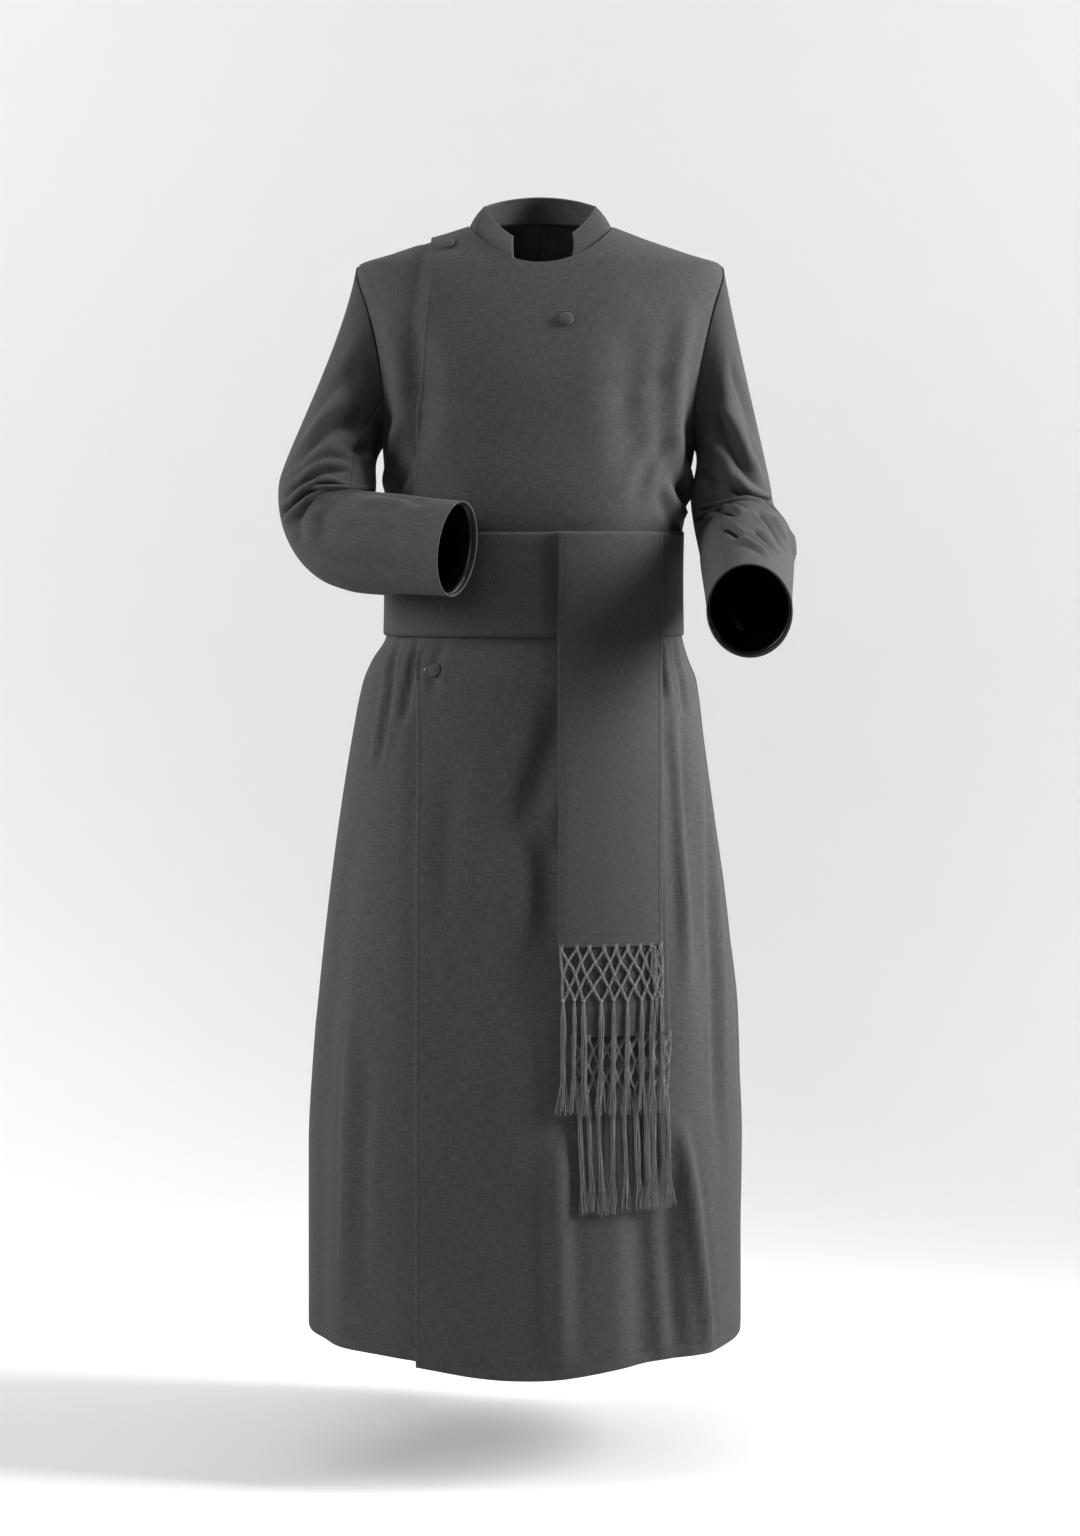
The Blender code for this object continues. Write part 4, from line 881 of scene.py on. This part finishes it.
def makeSleeve(name):
    points, turns, down = sleeveSurface(name)
    points = relaxed(points, sleeves["smoothing"])
    normals = tubeNormals(points)
    lengths = gridDistance(points, 0)
    middle = lengths.mean(axis=1)
    turnLength = sleeves["turnLength"]
    creases = []
    for crease in sleeveCreases[name]:
        path = [(turn * turnLength, float(np.interp(at, down, middle))) for turn, at in crease[0]]
        creases.append((path,) + tuple(crease[1:]))
    level = np.broadcast_to(middle[:, None], lengths.shape)
    u = np.broadcast_to(turns[None, :] * turnLength, lengths.shape)
    lift = sum(creaseLift(u + lap * 360 * turnLength, level, creases) for lap in (-1, 0, 1))
    keepEnds = ease(down / sleeves["keepArmhole"]) * ease((3 - down) / sleeves["keepCuff"])
    points = points + normals * (lift * keepEnds[:, None])[..., None]
    fromCuff = gridDistance(points, 0, True)
    points = points + normals * groove(fromCuff, sleeves["cuffStitch"], *form["groove"])[..., None]
    stitchLines[name + "Cuff"] = (points, normals, fromCuff, sleeves["cuffStitch"], 0)
    half = sleeves["underTurn"]
    for part, first, last in (("top", 180 + half, 540 - half), ("under", 180 - half, 180 + half)):
        wanted = np.linspace(first, last, round((last - first) / 360 * sleeves["steps"]) + 1)
        place = (wanted % 360) / 360 * sleeves["steps"]
        low = np.floor(place).astype(int) % sleeves["steps"]
        share = (place - np.floor(place))[None, :, None]
        cut = points[:, low] * (1 - share) + points[:, low + 1] * share
        if sleeves[name]["side"] > 0:
            cut = cut[:, ::-1]
        clothSheet(f"sleeve_{name}_{part}", cut, form["cloth"], cassockCloth)


def makeLining(name):
    forearm = sleeveRings(sleeves[name])[2]
    outside = form["cloth"] + 2 * form["seam"]
    turns = np.linspace(0, 360, sleeves["steps"] + 1)
    if sleeves[name]["side"] > 0:
        turns = turns[::-1]
    shares = np.linspace(*sleeves["liningReach"], sleeves["liningRows"])
    points = np.array([[forearm(share, turn, outside) for turn in turns] for share in shares])
    clothSheet("sleeve_lining_" + name, points, sleeves["lining"], satin, closed=True)


makeCollar()
for sleeveName in ("right", "left"):
    makeSleeve(sleeveName)
    makeLining(sleeveName)
print("collar and sleeves made")


# Cincture: a band all round and two hanging ends

cincture = {
    "topZ": -0.384, "bottomZ": -0.515, "wall": 0.0022, "ease": 0.0014, "rows": 24, "columns": 230,
    "tailWall": 0.0015, "tailEase": 0.0005, "tailLayer": 0.0012, "tailStep": 0.006,
    "bandRoll": (0.0006, 0.003), "overEdge": 0.03, "tailWidth": 0.124, "tailRoll": (0.0004, 0.002),
    "tailHemRows": (0.0012, 0.003, 0.0125, 0.014, 0.0155),
    "tailEdgeColumns": (0.001, 0.0025, 0.0042, 0.0052, 0.0066, 0.0076),
    "tailStitches": (0.0052, 0.0066), "tailGroove": (0.0008, 0.0002),
    "tailHemStitch": 0.014, "tailHemGroove": (0.0010, 0.0003),
    "tails": {
        "rear": {"top": (0.016, 0.140), "bottom": (0.035, 0.155), "hemZ": -0.997, "layer": 0},
        "front": {"top": (0.021, 0.145), "bottom": (0.021, 0.145), "hemZ": -0.890, "layer": 1}},
}
bandCreases = [          # x and height across the front
    ([(-0.185, -0.41), (-0.12, -0.42), (-0.05, -0.43)], 0.006, -0.0012),
    ([(-0.188, -0.492), (-0.13, -0.48), (-0.06, -0.474)], 0.006, -0.0013),
    ([(-0.06, -0.405), (0.01, -0.412), (0.08, -0.404)], 0.006, -0.0009),
    ([(-0.02, -0.496), (0.06, -0.49), (0.12, -0.498)], 0.006, -0.001),
]


def makeBand():
    heights = np.linspace(cincture["bottomZ"], cincture["topZ"], cincture["rows"] + 1)[:, None]
    angles = np.linspace(-180, 180, cincture["columns"] + 1)[None, :]
    angles, heights = np.broadcast_arrays(angles, heights)
    x = formPoint(angles, heights)[..., 0]
    inFront = np.abs(angles) < 90
    onOverlap = inFront & (x > overlapEdgeX(heights) - cincture["overEdge"])
    lift = np.where(onOverlap, overlapLift(x), 0) + form["seam"] + cincture["ease"] + cincture["wall"]
    farOff = 9           # metres, which keeps the creases off the back
    lift += creaseLift(x, heights + np.where(inFront, 0, farOff), bandCreases)
    normals = formNormal(angles, heights)
    points = formPoint(angles, heights) + normals * lift[..., None]
    edge = np.minimum(gridDistance(points, 0, True), gridDistance(points, 0))
    points = points - normals * edgeRoll(edge, *cincture["bandRoll"])[..., None]
    clothSheet("cincture_band", points, cincture["wall"], cinctureCloth, closed=True)


def tailPoint(tail, share, z, depth=0.0):
    along = (cincture["topZ"] - z) / (cincture["topZ"] - tail["hemZ"])
    left = mix(tail["top"][0], tail["bottom"][0], along)
    right = mix(tail["top"][1], tail["bottom"][1], along)
    lift = form["overlapLift"] + 2 * form["seam"] + cincture["ease"] + cincture["wall"]
    lift += cincture["tailEase"] + cincture["tailWall"] + form["seam"]
    lift += tail["layer"] * (cincture["tailWall"] + cincture["tailLayer"]) - depth
    angle = angleAt(mix(left, right, share), z)
    return formPoint(angle, z) + formNormal(angle, z) * np.broadcast_to(lift, np.shape(z))[..., None]


def makeTail(name):
    tail = cincture["tails"][name]
    length = cincture["topZ"] + 0.001 - tail["hemZ"]
    rows = spacedShares(length, cincture["tailStep"], cincture["tailHemRows"])
    columns = spacedShares(cincture["tailWidth"], cincture["tailStep"], cincture["tailEdgeColumns"],
                           cincture["tailEdgeColumns"])
    z = (tail["hemZ"] + length * rows)[:, None] + 0 * columns[None, :]
    share = columns[None, :] + 0 * rows[:, None]
    points = tailPoint(tail, share, z)
    normals = unit(np.cross(np.gradient(points, axis=1), np.gradient(points, axis=0)))
    left, right = gridDistance(points, 1), gridDistance(points, 1, True)
    hem = gridDistance(points, 0)
    lift = -edgeRoll(np.minimum(np.minimum(left, right), hem), *cincture["tailRoll"])
    for at in cincture["tailStitches"]:
        for sideName, distance in (("Left", left), ("Right", right)):
            stitchLines[f"{name}Tail{sideName}{at}"] = (points, normals, distance, at, 1)
        lift = lift + groove(np.minimum(left, right), at, *cincture["tailGroove"])
    hemStitch = cincture["tailHemStitch"]
    stitchLines[name + "TailHem"] = (points, normals, hem, hemStitch, 0)
    lift = lift + groove(hem, hemStitch, *cincture["tailHemGroove"])
    points = points + normals * lift[..., None]
    clothSheet("cincture_tail_" + name, points, cincture["tailWall"], cinctureCloth)


makeBand()
for tailName in ("rear", "front"):
    makeTail(tailName)
print("cincture made")


# Fringe: knotted lattice and tassels of loose threads

fringe = {
    "headDrop": 0.0015, "rowDrop": 0.0155, "rows": 4,
    "topKnots": (0.03, 0.18, 0.30, 0.44, 0.555, 0.66, 0.78, 0.89, 0.985),     # shares of the tail's width
    "lastKnots": {"front": (0.055, 0.152, 0.245, 0.405, 0.53, 0.66, 0.795, 0.89, 0.985),
                  "rear": (0.07, 0.156, 0.258, 0.396, 0.523, 0.63, 0.737, 0.81, 0.94)},
    "cordStrands": 4, "cordRadius": 0.00055, "cordSpread": 0.0013, "knotHalf": (0.0020, 0.0024, 0.0015),
    "tasselLength": {"front": 0.136, "rear": 0.146}, "threads": 26, "threadRadius": 0.00034,
    "neck": 0.0007, "belly": 0.0031, "flare": 0.0040, "flareFrom": 0.70, "flick": 0.0016,
    "tangle": {"front": 16, "rear": 0}, "tangleAt": 0.925, "depth": 0.0006, "sides": 5, "threadSides": 4,
    "seed": {"front": 7, "rear": 11}, "knotUneven": (0.0006, 0.0008), "cordSteps": 6, "threadSteps": 13,
    "cordTwist": 0.4, "cordSag": 0.0006, "headPair": 0.0012, "headRise": 0.004, "knotTilt": 0.6,
    "lastKnotSize": 1.25, "lengthUneven": 0.008, "cutUneven": (0.955, 1.012), "lean": 0.0018,
    "bellyUneven": (0.75, 1.2), "wave": (0.0002, 0.0009), "laps": 2.4, "twist": 1.1,
    "waves": 9, "waveIn": 4, "neckIn": 7, "flatness": 0.5, "taper": 0.4,
    "tangleSpread": 0.0022, "tangleSwing": (0.0012, 0.0042), "tangleTurns": (2, 9),
    "tangleLength": (0.05, 0.12), "tangleDepth": 0.0012,
}


def templateArrays(shaped):      # one small shape's points and faces, to be copied many times
    shaped.verts.index_update()
    points = np.array([vert.co[:] for vert in shaped.verts])
    faces = np.array([[vert.index for vert in face.verts] for face in shaped.faces])
    shaped.free()
    return points, faces


def copiesMesh(points, faces):   # points: one row of places for each copy of the same small shape
    count = points.shape[1]
    offset = np.arange(len(points))[:, None, None] * count
    return points.reshape(-1, 3), (faces[None] + offset).reshape(-1, faces.shape[1])


def tubes(paths, radii, sides):  # round tubes along paths that have the same number of points
    paths = np.asarray(paths, dtype=float)
    rings = paths.shape[1]
    shaped = bmesh.new()
    bmesh.ops.create_grid(shaped, x_segments=sides, y_segments=rings - 1, size=1)
    for vert in shaped.verts:
        turn = (vert.co.x + 1) * math.pi
        vert.co = (math.cos(turn), math.sin(turn), round((vert.co.y + 1) / 2 * (rings - 1)))
    bmesh.ops.remove_doubles(shaped, verts=shaped.verts, dist=1e-4)
    template, faces = templateArrays(shaped)
    ring = template[:, 2].astype(int)
    along = unit(np.gradient(paths, axis=1))
    aside = unit(np.cross(along, np.array([0.13, 1.0, 0.07])))
    up = np.cross(aside, along)
    reach = np.broadcast_to(radii, (rings,))[ring][None, :, None]
    round_ = aside[:, ring] * template[:, 0][None, :, None] + up[:, ring] * template[:, 1][None, :, None]
    return copiesMesh(paths[:, ring] + round_ * reach, faces)


def beads(matrices, subdivisions=1):   # copies of a small ball, each with its own 4 x 4 matrix
    shaped = bmesh.new()
    bmesh.ops.create_icosphere(shaped, subdivisions=subdivisions, radius=1)
    template, faces = templateArrays(shaped)
    matrices = np.array(matrices)
    points = np.einsum("nij,kj->nki", matrices[:, :3, :3], template) + matrices[:, None, :3, 3]
    return copiesMesh(points, faces)


def joinedPiece(name, groups, material, node=None):
    mesh = bpy.data.meshes.new(name)
    points, faces, start = [], [], 0
    for groupPoints, groupFaces in groups:
        points.append(groupPoints)
        faces += (groupFaces + start).tolist()
        start += len(groupPoints)
    mesh.from_pydata(np.concatenate(points).tolist(), [], faces)
    shaped = bmesh.new()
    shaped.from_mesh(mesh)
    bmesh.ops.recalc_face_normals(shaped, faces=shaped.faces)
    return finishPiece(name, shaped, material, node)


def makeFringe(name):
    tail = cincture["tails"][name]
    width = abs(tail["bottom"][1] - tail["bottom"][0])
    random = np.random.default_rng(fringe["seed"][name])
    cords, knots, threads = [], [], []
    steps = fringe["threadSteps"]

    def place(across, down, out=0.0):
        z = np.array(tail["hemZ"] - down)
        return tailPoint(tail, np.array(across / width), z, fringe["depth"] - out)

    rows = []
    for r in range(fringe["rows"] + 1):
        xs = [mix(top, last, r / fringe["rows"]) * width
              for top, last in zip(fringe["topKnots"], fringe["lastKnots"][name])]
        if r % 2:
            xs = [(a + b) / 2 for a, b in zip(xs, xs[1:])]
        down = fringe["headDrop"] + r * fringe["rowDrop"]
        sideways, upways = fringe["knotUneven"]
        rows.append([(x + random.normal(0, sideways), down + random.normal(0, upways)) for x in xs])

    def addCord(start, end, sag):
        for strand in range(fringe["cordStrands"]):
            path = []
            for i in range(fringe["cordSteps"] + 1):
                t = i / fringe["cordSteps"]
                phase = 2 * math.pi * (strand / fringe["cordStrands"] + fringe["cordTwist"] * t)
                across = mix(start[0], end[0], t) + sag * math.sin(math.pi * t)
                across += fringe["cordSpread"] * math.cos(phase)
                down = mix(start[1], end[1], t)
                path.append(place(across, down, 0.5 * fringe["cordSpread"] * math.sin(phase)))
            cords.append(path)

    def addKnot(across, down, size=1.0):
        half = [h * size for h in fringe["knotHalf"]]
        centre = place(across, down)
        for tilt in (-fringe["knotTilt"], fringe["knotTilt"]):
            matrix = Matrix.Translation(centre) @ Matrix.Rotation(tilt, 4, "Y")
            knots.append(matrix @ Matrix.Diagonal((half[0], half[2], half[1] * 0.72, 1)))

    for x, down in rows[0]:
        for offset in (-fringe["headPair"], fringe["headPair"]):
            addCord((x + offset, -fringe["headRise"]), (x + offset * 0.5, down), 0.0)
    for r in range(fringe["rows"]):
        for i, knot in enumerate(rows[r]):
            for j in ((i - 1, i) if r % 2 == 0 else (i, i + 1)):
                if 0 <= j < len(rows[r + 1]):
                    addCord(knot, rows[r + 1][j], random.normal(0, fringe["cordSag"]))
        if r % 2 == 0 and r + 2 <= fringe["rows"]:
            for end in (0, -1):
                addCord(rows[r][end], rows[r + 2][end], (-1 if end == 0 else 1) * fringe["headPair"])
    for r, row in enumerate(rows):
        for x, down in row:
            addKnot(x, down, fringe["lastKnotSize"] if r == fringe["rows"] else 1.0)
    for x, down in rows[-1]:
        length = fringe["tasselLength"][name] * (1 + random.normal(0, fringe["lengthUneven"]))
        lean = random.normal(0, fringe["lean"])
        belly = fringe["belly"] * random.uniform(*fringe["bellyUneven"])
        for k in range(fringe["threads"]):
            turn = 2 * math.pi * k / fringe["threads"] * fringe["laps"]
            spread = math.sqrt((k + 0.5) / fringe["threads"])
            wave, phase = random.uniform(*fringe["wave"]), random.uniform(0, 6.28)
            flick = random.normal(0, fringe["flick"])
            ownLength = length * random.uniform(*fringe["cutUneven"])
            path = []
            for i in range(steps + 1):
                t = i / steps
                splay = float(ease((t - fringe["flareFrom"]) / (1 - fringe["flareFrom"])))
                reach = mix(fringe["neck"], belly, float(ease(t * fringe["neckIn"])))
                reach += fringe["flare"] * splay
                twist = turn + fringe["twist"] * t
                across = x + lean * t * t + reach * spread * math.cos(twist) + flick * splay
                across += wave * math.sin(phase + fringe["waves"] * t) * min(1, fringe["waveIn"] * t)
                out = reach * fringe["flatness"] * spread * math.sin(twist)
                path.append(place(across, down + 0.001 + t * ownLength, out))
            threads.append(path)
    for k in range(fringe["tangle"][name]):     # a snarl of loose ends by the wearer's left edge
        start, phase = random.normal(0, fringe["tangleSpread"]), random.uniform(0, 6.28)
        swing, turns = random.uniform(*fringe["tangleSwing"]), random.uniform(*fringe["tangleTurns"])
        reach = random.uniform(*fringe["tangleLength"])
        path = []
        for i in range(steps + 1):
            across = fringe["tangleAt"] * width + start + swing * math.sin(phase + turns * i / steps)
            out = fringe["tangleDepth"] * (1 + math.cos(phase + turns * i / 9))
            path.append(place(across, reach * i / steps, out))
        threads.append(path)
    taper = fringe["threadRadius"] * (1 - fringe["taper"] * np.linspace(0, 1, steps + 1))
    groups = [tubes(cords, fringe["cordRadius"], fringe["sides"]), beads(knots, 2),
              tubes(threads, taper, fringe["threadSides"])]
    return joinedPiece("fringe_" + name, groups, fringeThread, "fringe_" + name)


fringes = {tailName: makeFringe(tailName) for tailName in ("rear", "front")}
print("fringes made")


# Buttons, stitching and buttonhole

buttons = {
    "radius": 0.0088, "height": 0.0052, "gap": 0.0004, "segments": 40, "rings": 20,
    "rim": 0.45, "dome": (2.4, 0.6), "under": 1.8, "puckers": 13, "pucker": 0.012, "puckerFrom": 0.75,
    "places": {"shoulder": (-0.1145, -0.0270), "chest": (0.0325, -0.123), "hip": (-0.1295, -0.556)},
}
buttonholes = {          # middle, half length and half width of each slit
    "places": (((-0.1398, -0.5556), 0.0022, 0.0018), ((0.0308, -0.1122), 0.0085, 0.0004)),
    "radius": 0.00035, "lift": 0.0003, "points": 24,
}
stitching = {"length": 0.0024, "gap": 0.0007, "radius": 0.00026, "lift": 0.0001}


def frontFrame(x, z, lift):
    angle = angleAt(np.array(x), np.array(z))
    normal = Vector(formNormal(angle, np.array(z)))
    turned = normal.to_track_quat("Z", "Y").to_matrix().to_4x4()
    return Matrix.Translation(clothPoint(angle, np.array(z), lift)) @ turned


def makeButton(name):
    x, z = buttons["places"][name]
    frameAt = frontFrame(x, z, form["overlapLift"] + buttons["gap"])
    shaped = bmesh.new()
    bmesh.ops.create_uvsphere(shaped, u_segments=buttons["segments"], v_segments=buttons["rings"], radius=1)
    uvs = shaped.loops.layers.uv.new("cloth")
    rim, (power, root) = buttons["rim"], buttons["dome"]
    for vert in shaped.verts:
        reach = math.hypot(vert.co.x, vert.co.y)
        height = rim
        if reach < 1 and vert.co.z >= 0:
            height = rim + (1 - rim) * (1 - reach ** power) ** root
        elif reach < 1:
            height = rim - rim * (1 - reach ** buttons["under"])
        turn = math.atan2(vert.co.y, vert.co.x) * buttons["puckers"]
        pucker = buttons["pucker"] * math.sin(turn) * max(0, reach - buttons["puckerFrom"]) * 4
        wide = buttons["radius"] * (1 + pucker * 0.4)
        vert.co = Vector((vert.co.x * wide, vert.co.y * wide, (height + pucker) * buttons["height"]))
    for face in shaped.faces:
        for loop in face.loops:
            loop[uvs].uv = loop.vert.co.xy
    bmesh.ops.transform(shaped, matrix=frameAt, verts=shaped.verts)
    finishPiece("button_" + name, shaped, cassockCloth, "button_" + name)


def readAt(place, run, rows):    # a table of points or normals, read at any place along its run
    return np.array([np.interp(place, run, rows[:, k]) for k in range(3)])


def linePath(points, normals, distance, at, axis):   # where a panel's rows or columns are so far in
    if axis == 0:
        points, normals, distance = points.swapaxes(0, 1), normals.swapaxes(0, 1), distance.T
    path, facing = [], []
    for row, normal, reach in zip(points, normals, distance):
        if reach[0] > reach[-1]:
            row, normal, reach = row[::-1], normal[::-1], reach[::-1]
        if reach[-1] > at:
            path.append(readAt(at, reach, row))
            facing.append(readAt(at, reach, normal))
    return np.array(path), np.array(facing)


def stitchMatrices(path, facing):
    matrices = []
    run = np.concatenate([[0], np.cumsum(np.linalg.norm(np.diff(path, axis=0), axis=1))])
    pitch = stitching["length"] + stitching["gap"]
    for i in range(int(run[-1] / pitch)):
        ends = [readAt(place, run, path) for place in (i * pitch, i * pitch + stitching["length"])]
        normal = unit(readAt(i * pitch, run, facing))
        centre = (ends[0] + ends[1]) / 2 + normal * stitching["lift"]
        along = Vector(ends[1] - ends[0])
        turned = along.to_track_quat("X", "Z").to_matrix().to_4x4()
        size = Matrix.Diagonal((along.length / 2, stitching["radius"], stitching["radius"], 1))
        matrices.append(Matrix.Translation(centre) @ turned @ size)
    return matrices


def makeStitching():
    for name, slot in (("cassockStitching", "cloth"), ("cinctureStitching", "cincture")):
        lines = [line for key, line in stitchLines.items() if ("Tail" in key) == (slot == "cincture")]
        matrices = [matrix for line in lines for matrix in stitchMatrices(*linePath(*line))]
        joinedPiece(name, [beads(matrices)], seamThread)


# Worked buttonholes: one under the hip button's edge, a closed one above the chest button; each is a loop
# of thread round a flat black satin bead, which is painted shade in the opening
def makeButtonholes():
    loops, slitShades = [], []
    for (x, z), half, gap in buttonholes["places"]:
        frameAt = frontFrame(x, z, form["overlapLift"] + buttonholes["lift"])
        path = []
        for i in range(buttonholes["points"] + 1):
            turn = 2 * math.pi * i / buttonholes["points"]
            path.append(frameAt @ Vector((half * math.cos(turn), gap * math.sin(turn), 0)))
        loops.append(path)
        slitShades.append(frameAt @ Matrix.Diagonal((half, gap, 0.0002, 1)))
    joinedPiece("buttonholeThreads", [tubes(loops, buttonholes["radius"], 6)], seamThread)
    # the flat black beads are painted shade inside each opening
    joinedPiece("buttonholeSlitShade", [beads(slitShades, 2)], satin)


for buttonName in buttons["places"]:
    makeButton(buttonName)
makeButtonholes()
makeStitching()
print("buttons and stitching made")


# Stage, lights and camera

studio = {
    "floorZ": -1.545, "frontY": -10, "backdropY": 2.4, "curve": 1.2, "halfWidth": 9, "sweep": 16,
    "paper": "#e8e8e8", "world": 0.12,
    "cameraAt": (0.0, -4.2, -0.395), "lens": 77.5, "shiftY": -0.1484,
    "lights": {              # place, where it is turned to, size, watts, spread in degrees
        "rightSoftbox": ((2.75, -0.45, 0.5), (0, 0, -0.6), (0.8, 1.8), 29, 55),
        "leftSoftbox": ((-2.6, -0.90, 0.4), (0, 0, -0.6), (0.8, 1.8), 9.5, 55),
        "frontSoftbox": ((-0.9, -3.4, 0.6), (0, 0, -0.6), (1.2, 1.0), 6, 120),
        "topSoftbox": ((0.1, -0.6, 2.6), (0, 0, -0.6), (2.4, 1.6), 20, 150),
        "paperLightRight": ((2.4, 0.2, 1.3), (0.5, 3.6, -0.2), (1.4, 3.0), 58, 180),
        "paperLightLeft": ((-2.4, 0.2, 1.3), (-0.5, 3.6, -0.2), (1.4, 3.0), 60, 180)},
}


def makeStage():
    shaped = bmesh.new()
    bmesh.ops.create_grid(shaped, x_segments=2, y_segments=60, size=1)
    curve, front, floor = studio["curve"], studio["frontY"], studio["floorZ"]
    flat = studio["backdropY"] - front - curve
    bend = curve * math.pi / 2
    for vert in shaped.verts:
        run = (vert.co.y + 1) / 2 * studio["sweep"]
        x = vert.co.x * studio["halfWidth"]
        t = min(max(run - flat, 0), bend) / curve
        y = front + min(run, flat) + curve * math.sin(t)
        z = floor + curve * (1 - math.cos(t)) + max(run - flat - bend, 0)
        vert.co = (x, y, z)
    mesh = bpy.data.meshes.new("paperSweep")
    shaped.to_mesh(mesh)
    shaped.free()
    mesh.shade_smooth()
    material, tree, shader = startMaterial("palePaper")    # matt seamless paper
    grain = addNode(tree, "ShaderNodeTexNoise", {}, {"Scale": 300.0},
                    {"Vector": addNode(tree, "ShaderNodeTexCoord").outputs["Object"]})
    bump = addNode(tree, "ShaderNodeBump", {}, {"Strength": 0.02}, {"Height": grain.outputs["Fac"]})
    tree.links.new(bump.outputs["Normal"], shader.inputs["Normal"])
    shader.inputs["Base Color"].default_value = linearColor(studio["paper"])
    shader.inputs["Roughness"].default_value = 0.9
    mesh.materials.append(material)
    sweep = bpy.data.objects.new("paperSweep", mesh)
    bpy.context.scene.collection.objects.link(sweep)


def addLight(name, place, aim, size, power, spread):
    lamp = bpy.data.lights.new(name, "AREA")
    lamp.shape = "RECTANGLE"
    lamp.size, lamp.size_y = size
    lamp.energy = power
    lamp.spread = math.radians(spread)
    light = bpy.data.objects.new(name, lamp)
    light.location = place
    light.rotation_euler = (Vector(aim) - Vector(place)).to_track_quat("-Z", "Y").to_euler()
    bpy.context.scene.collection.objects.link(light)


makeStage()
for lightName, settings in studio["lights"].items():
    addLight(lightName, *settings)
world = bpy.data.worlds.new("studioAir")
world.use_nodes = True
world.node_tree.nodes["Background"].inputs["Color"].default_value = (1, 1, 1, 1)
world.node_tree.nodes["Background"].inputs["Strength"].default_value = studio["world"]
bpy.context.scene.world = world
bpy.context.scene.view_settings.view_transform = "Standard"

lens = bpy.data.cameras.new("studioCamera")
lens.lens = studio["lens"]
lens.sensor_width = 36
lens.shift_y = studio["shiftY"]
camera = bpy.data.objects.new("studioCamera", lens)
camera.location = studio["cameraAt"]
camera.rotation_euler = (math.radians(90), 0, 0)
bpy.context.scene.collection.objects.link(camera)
bpy.context.scene.camera = camera
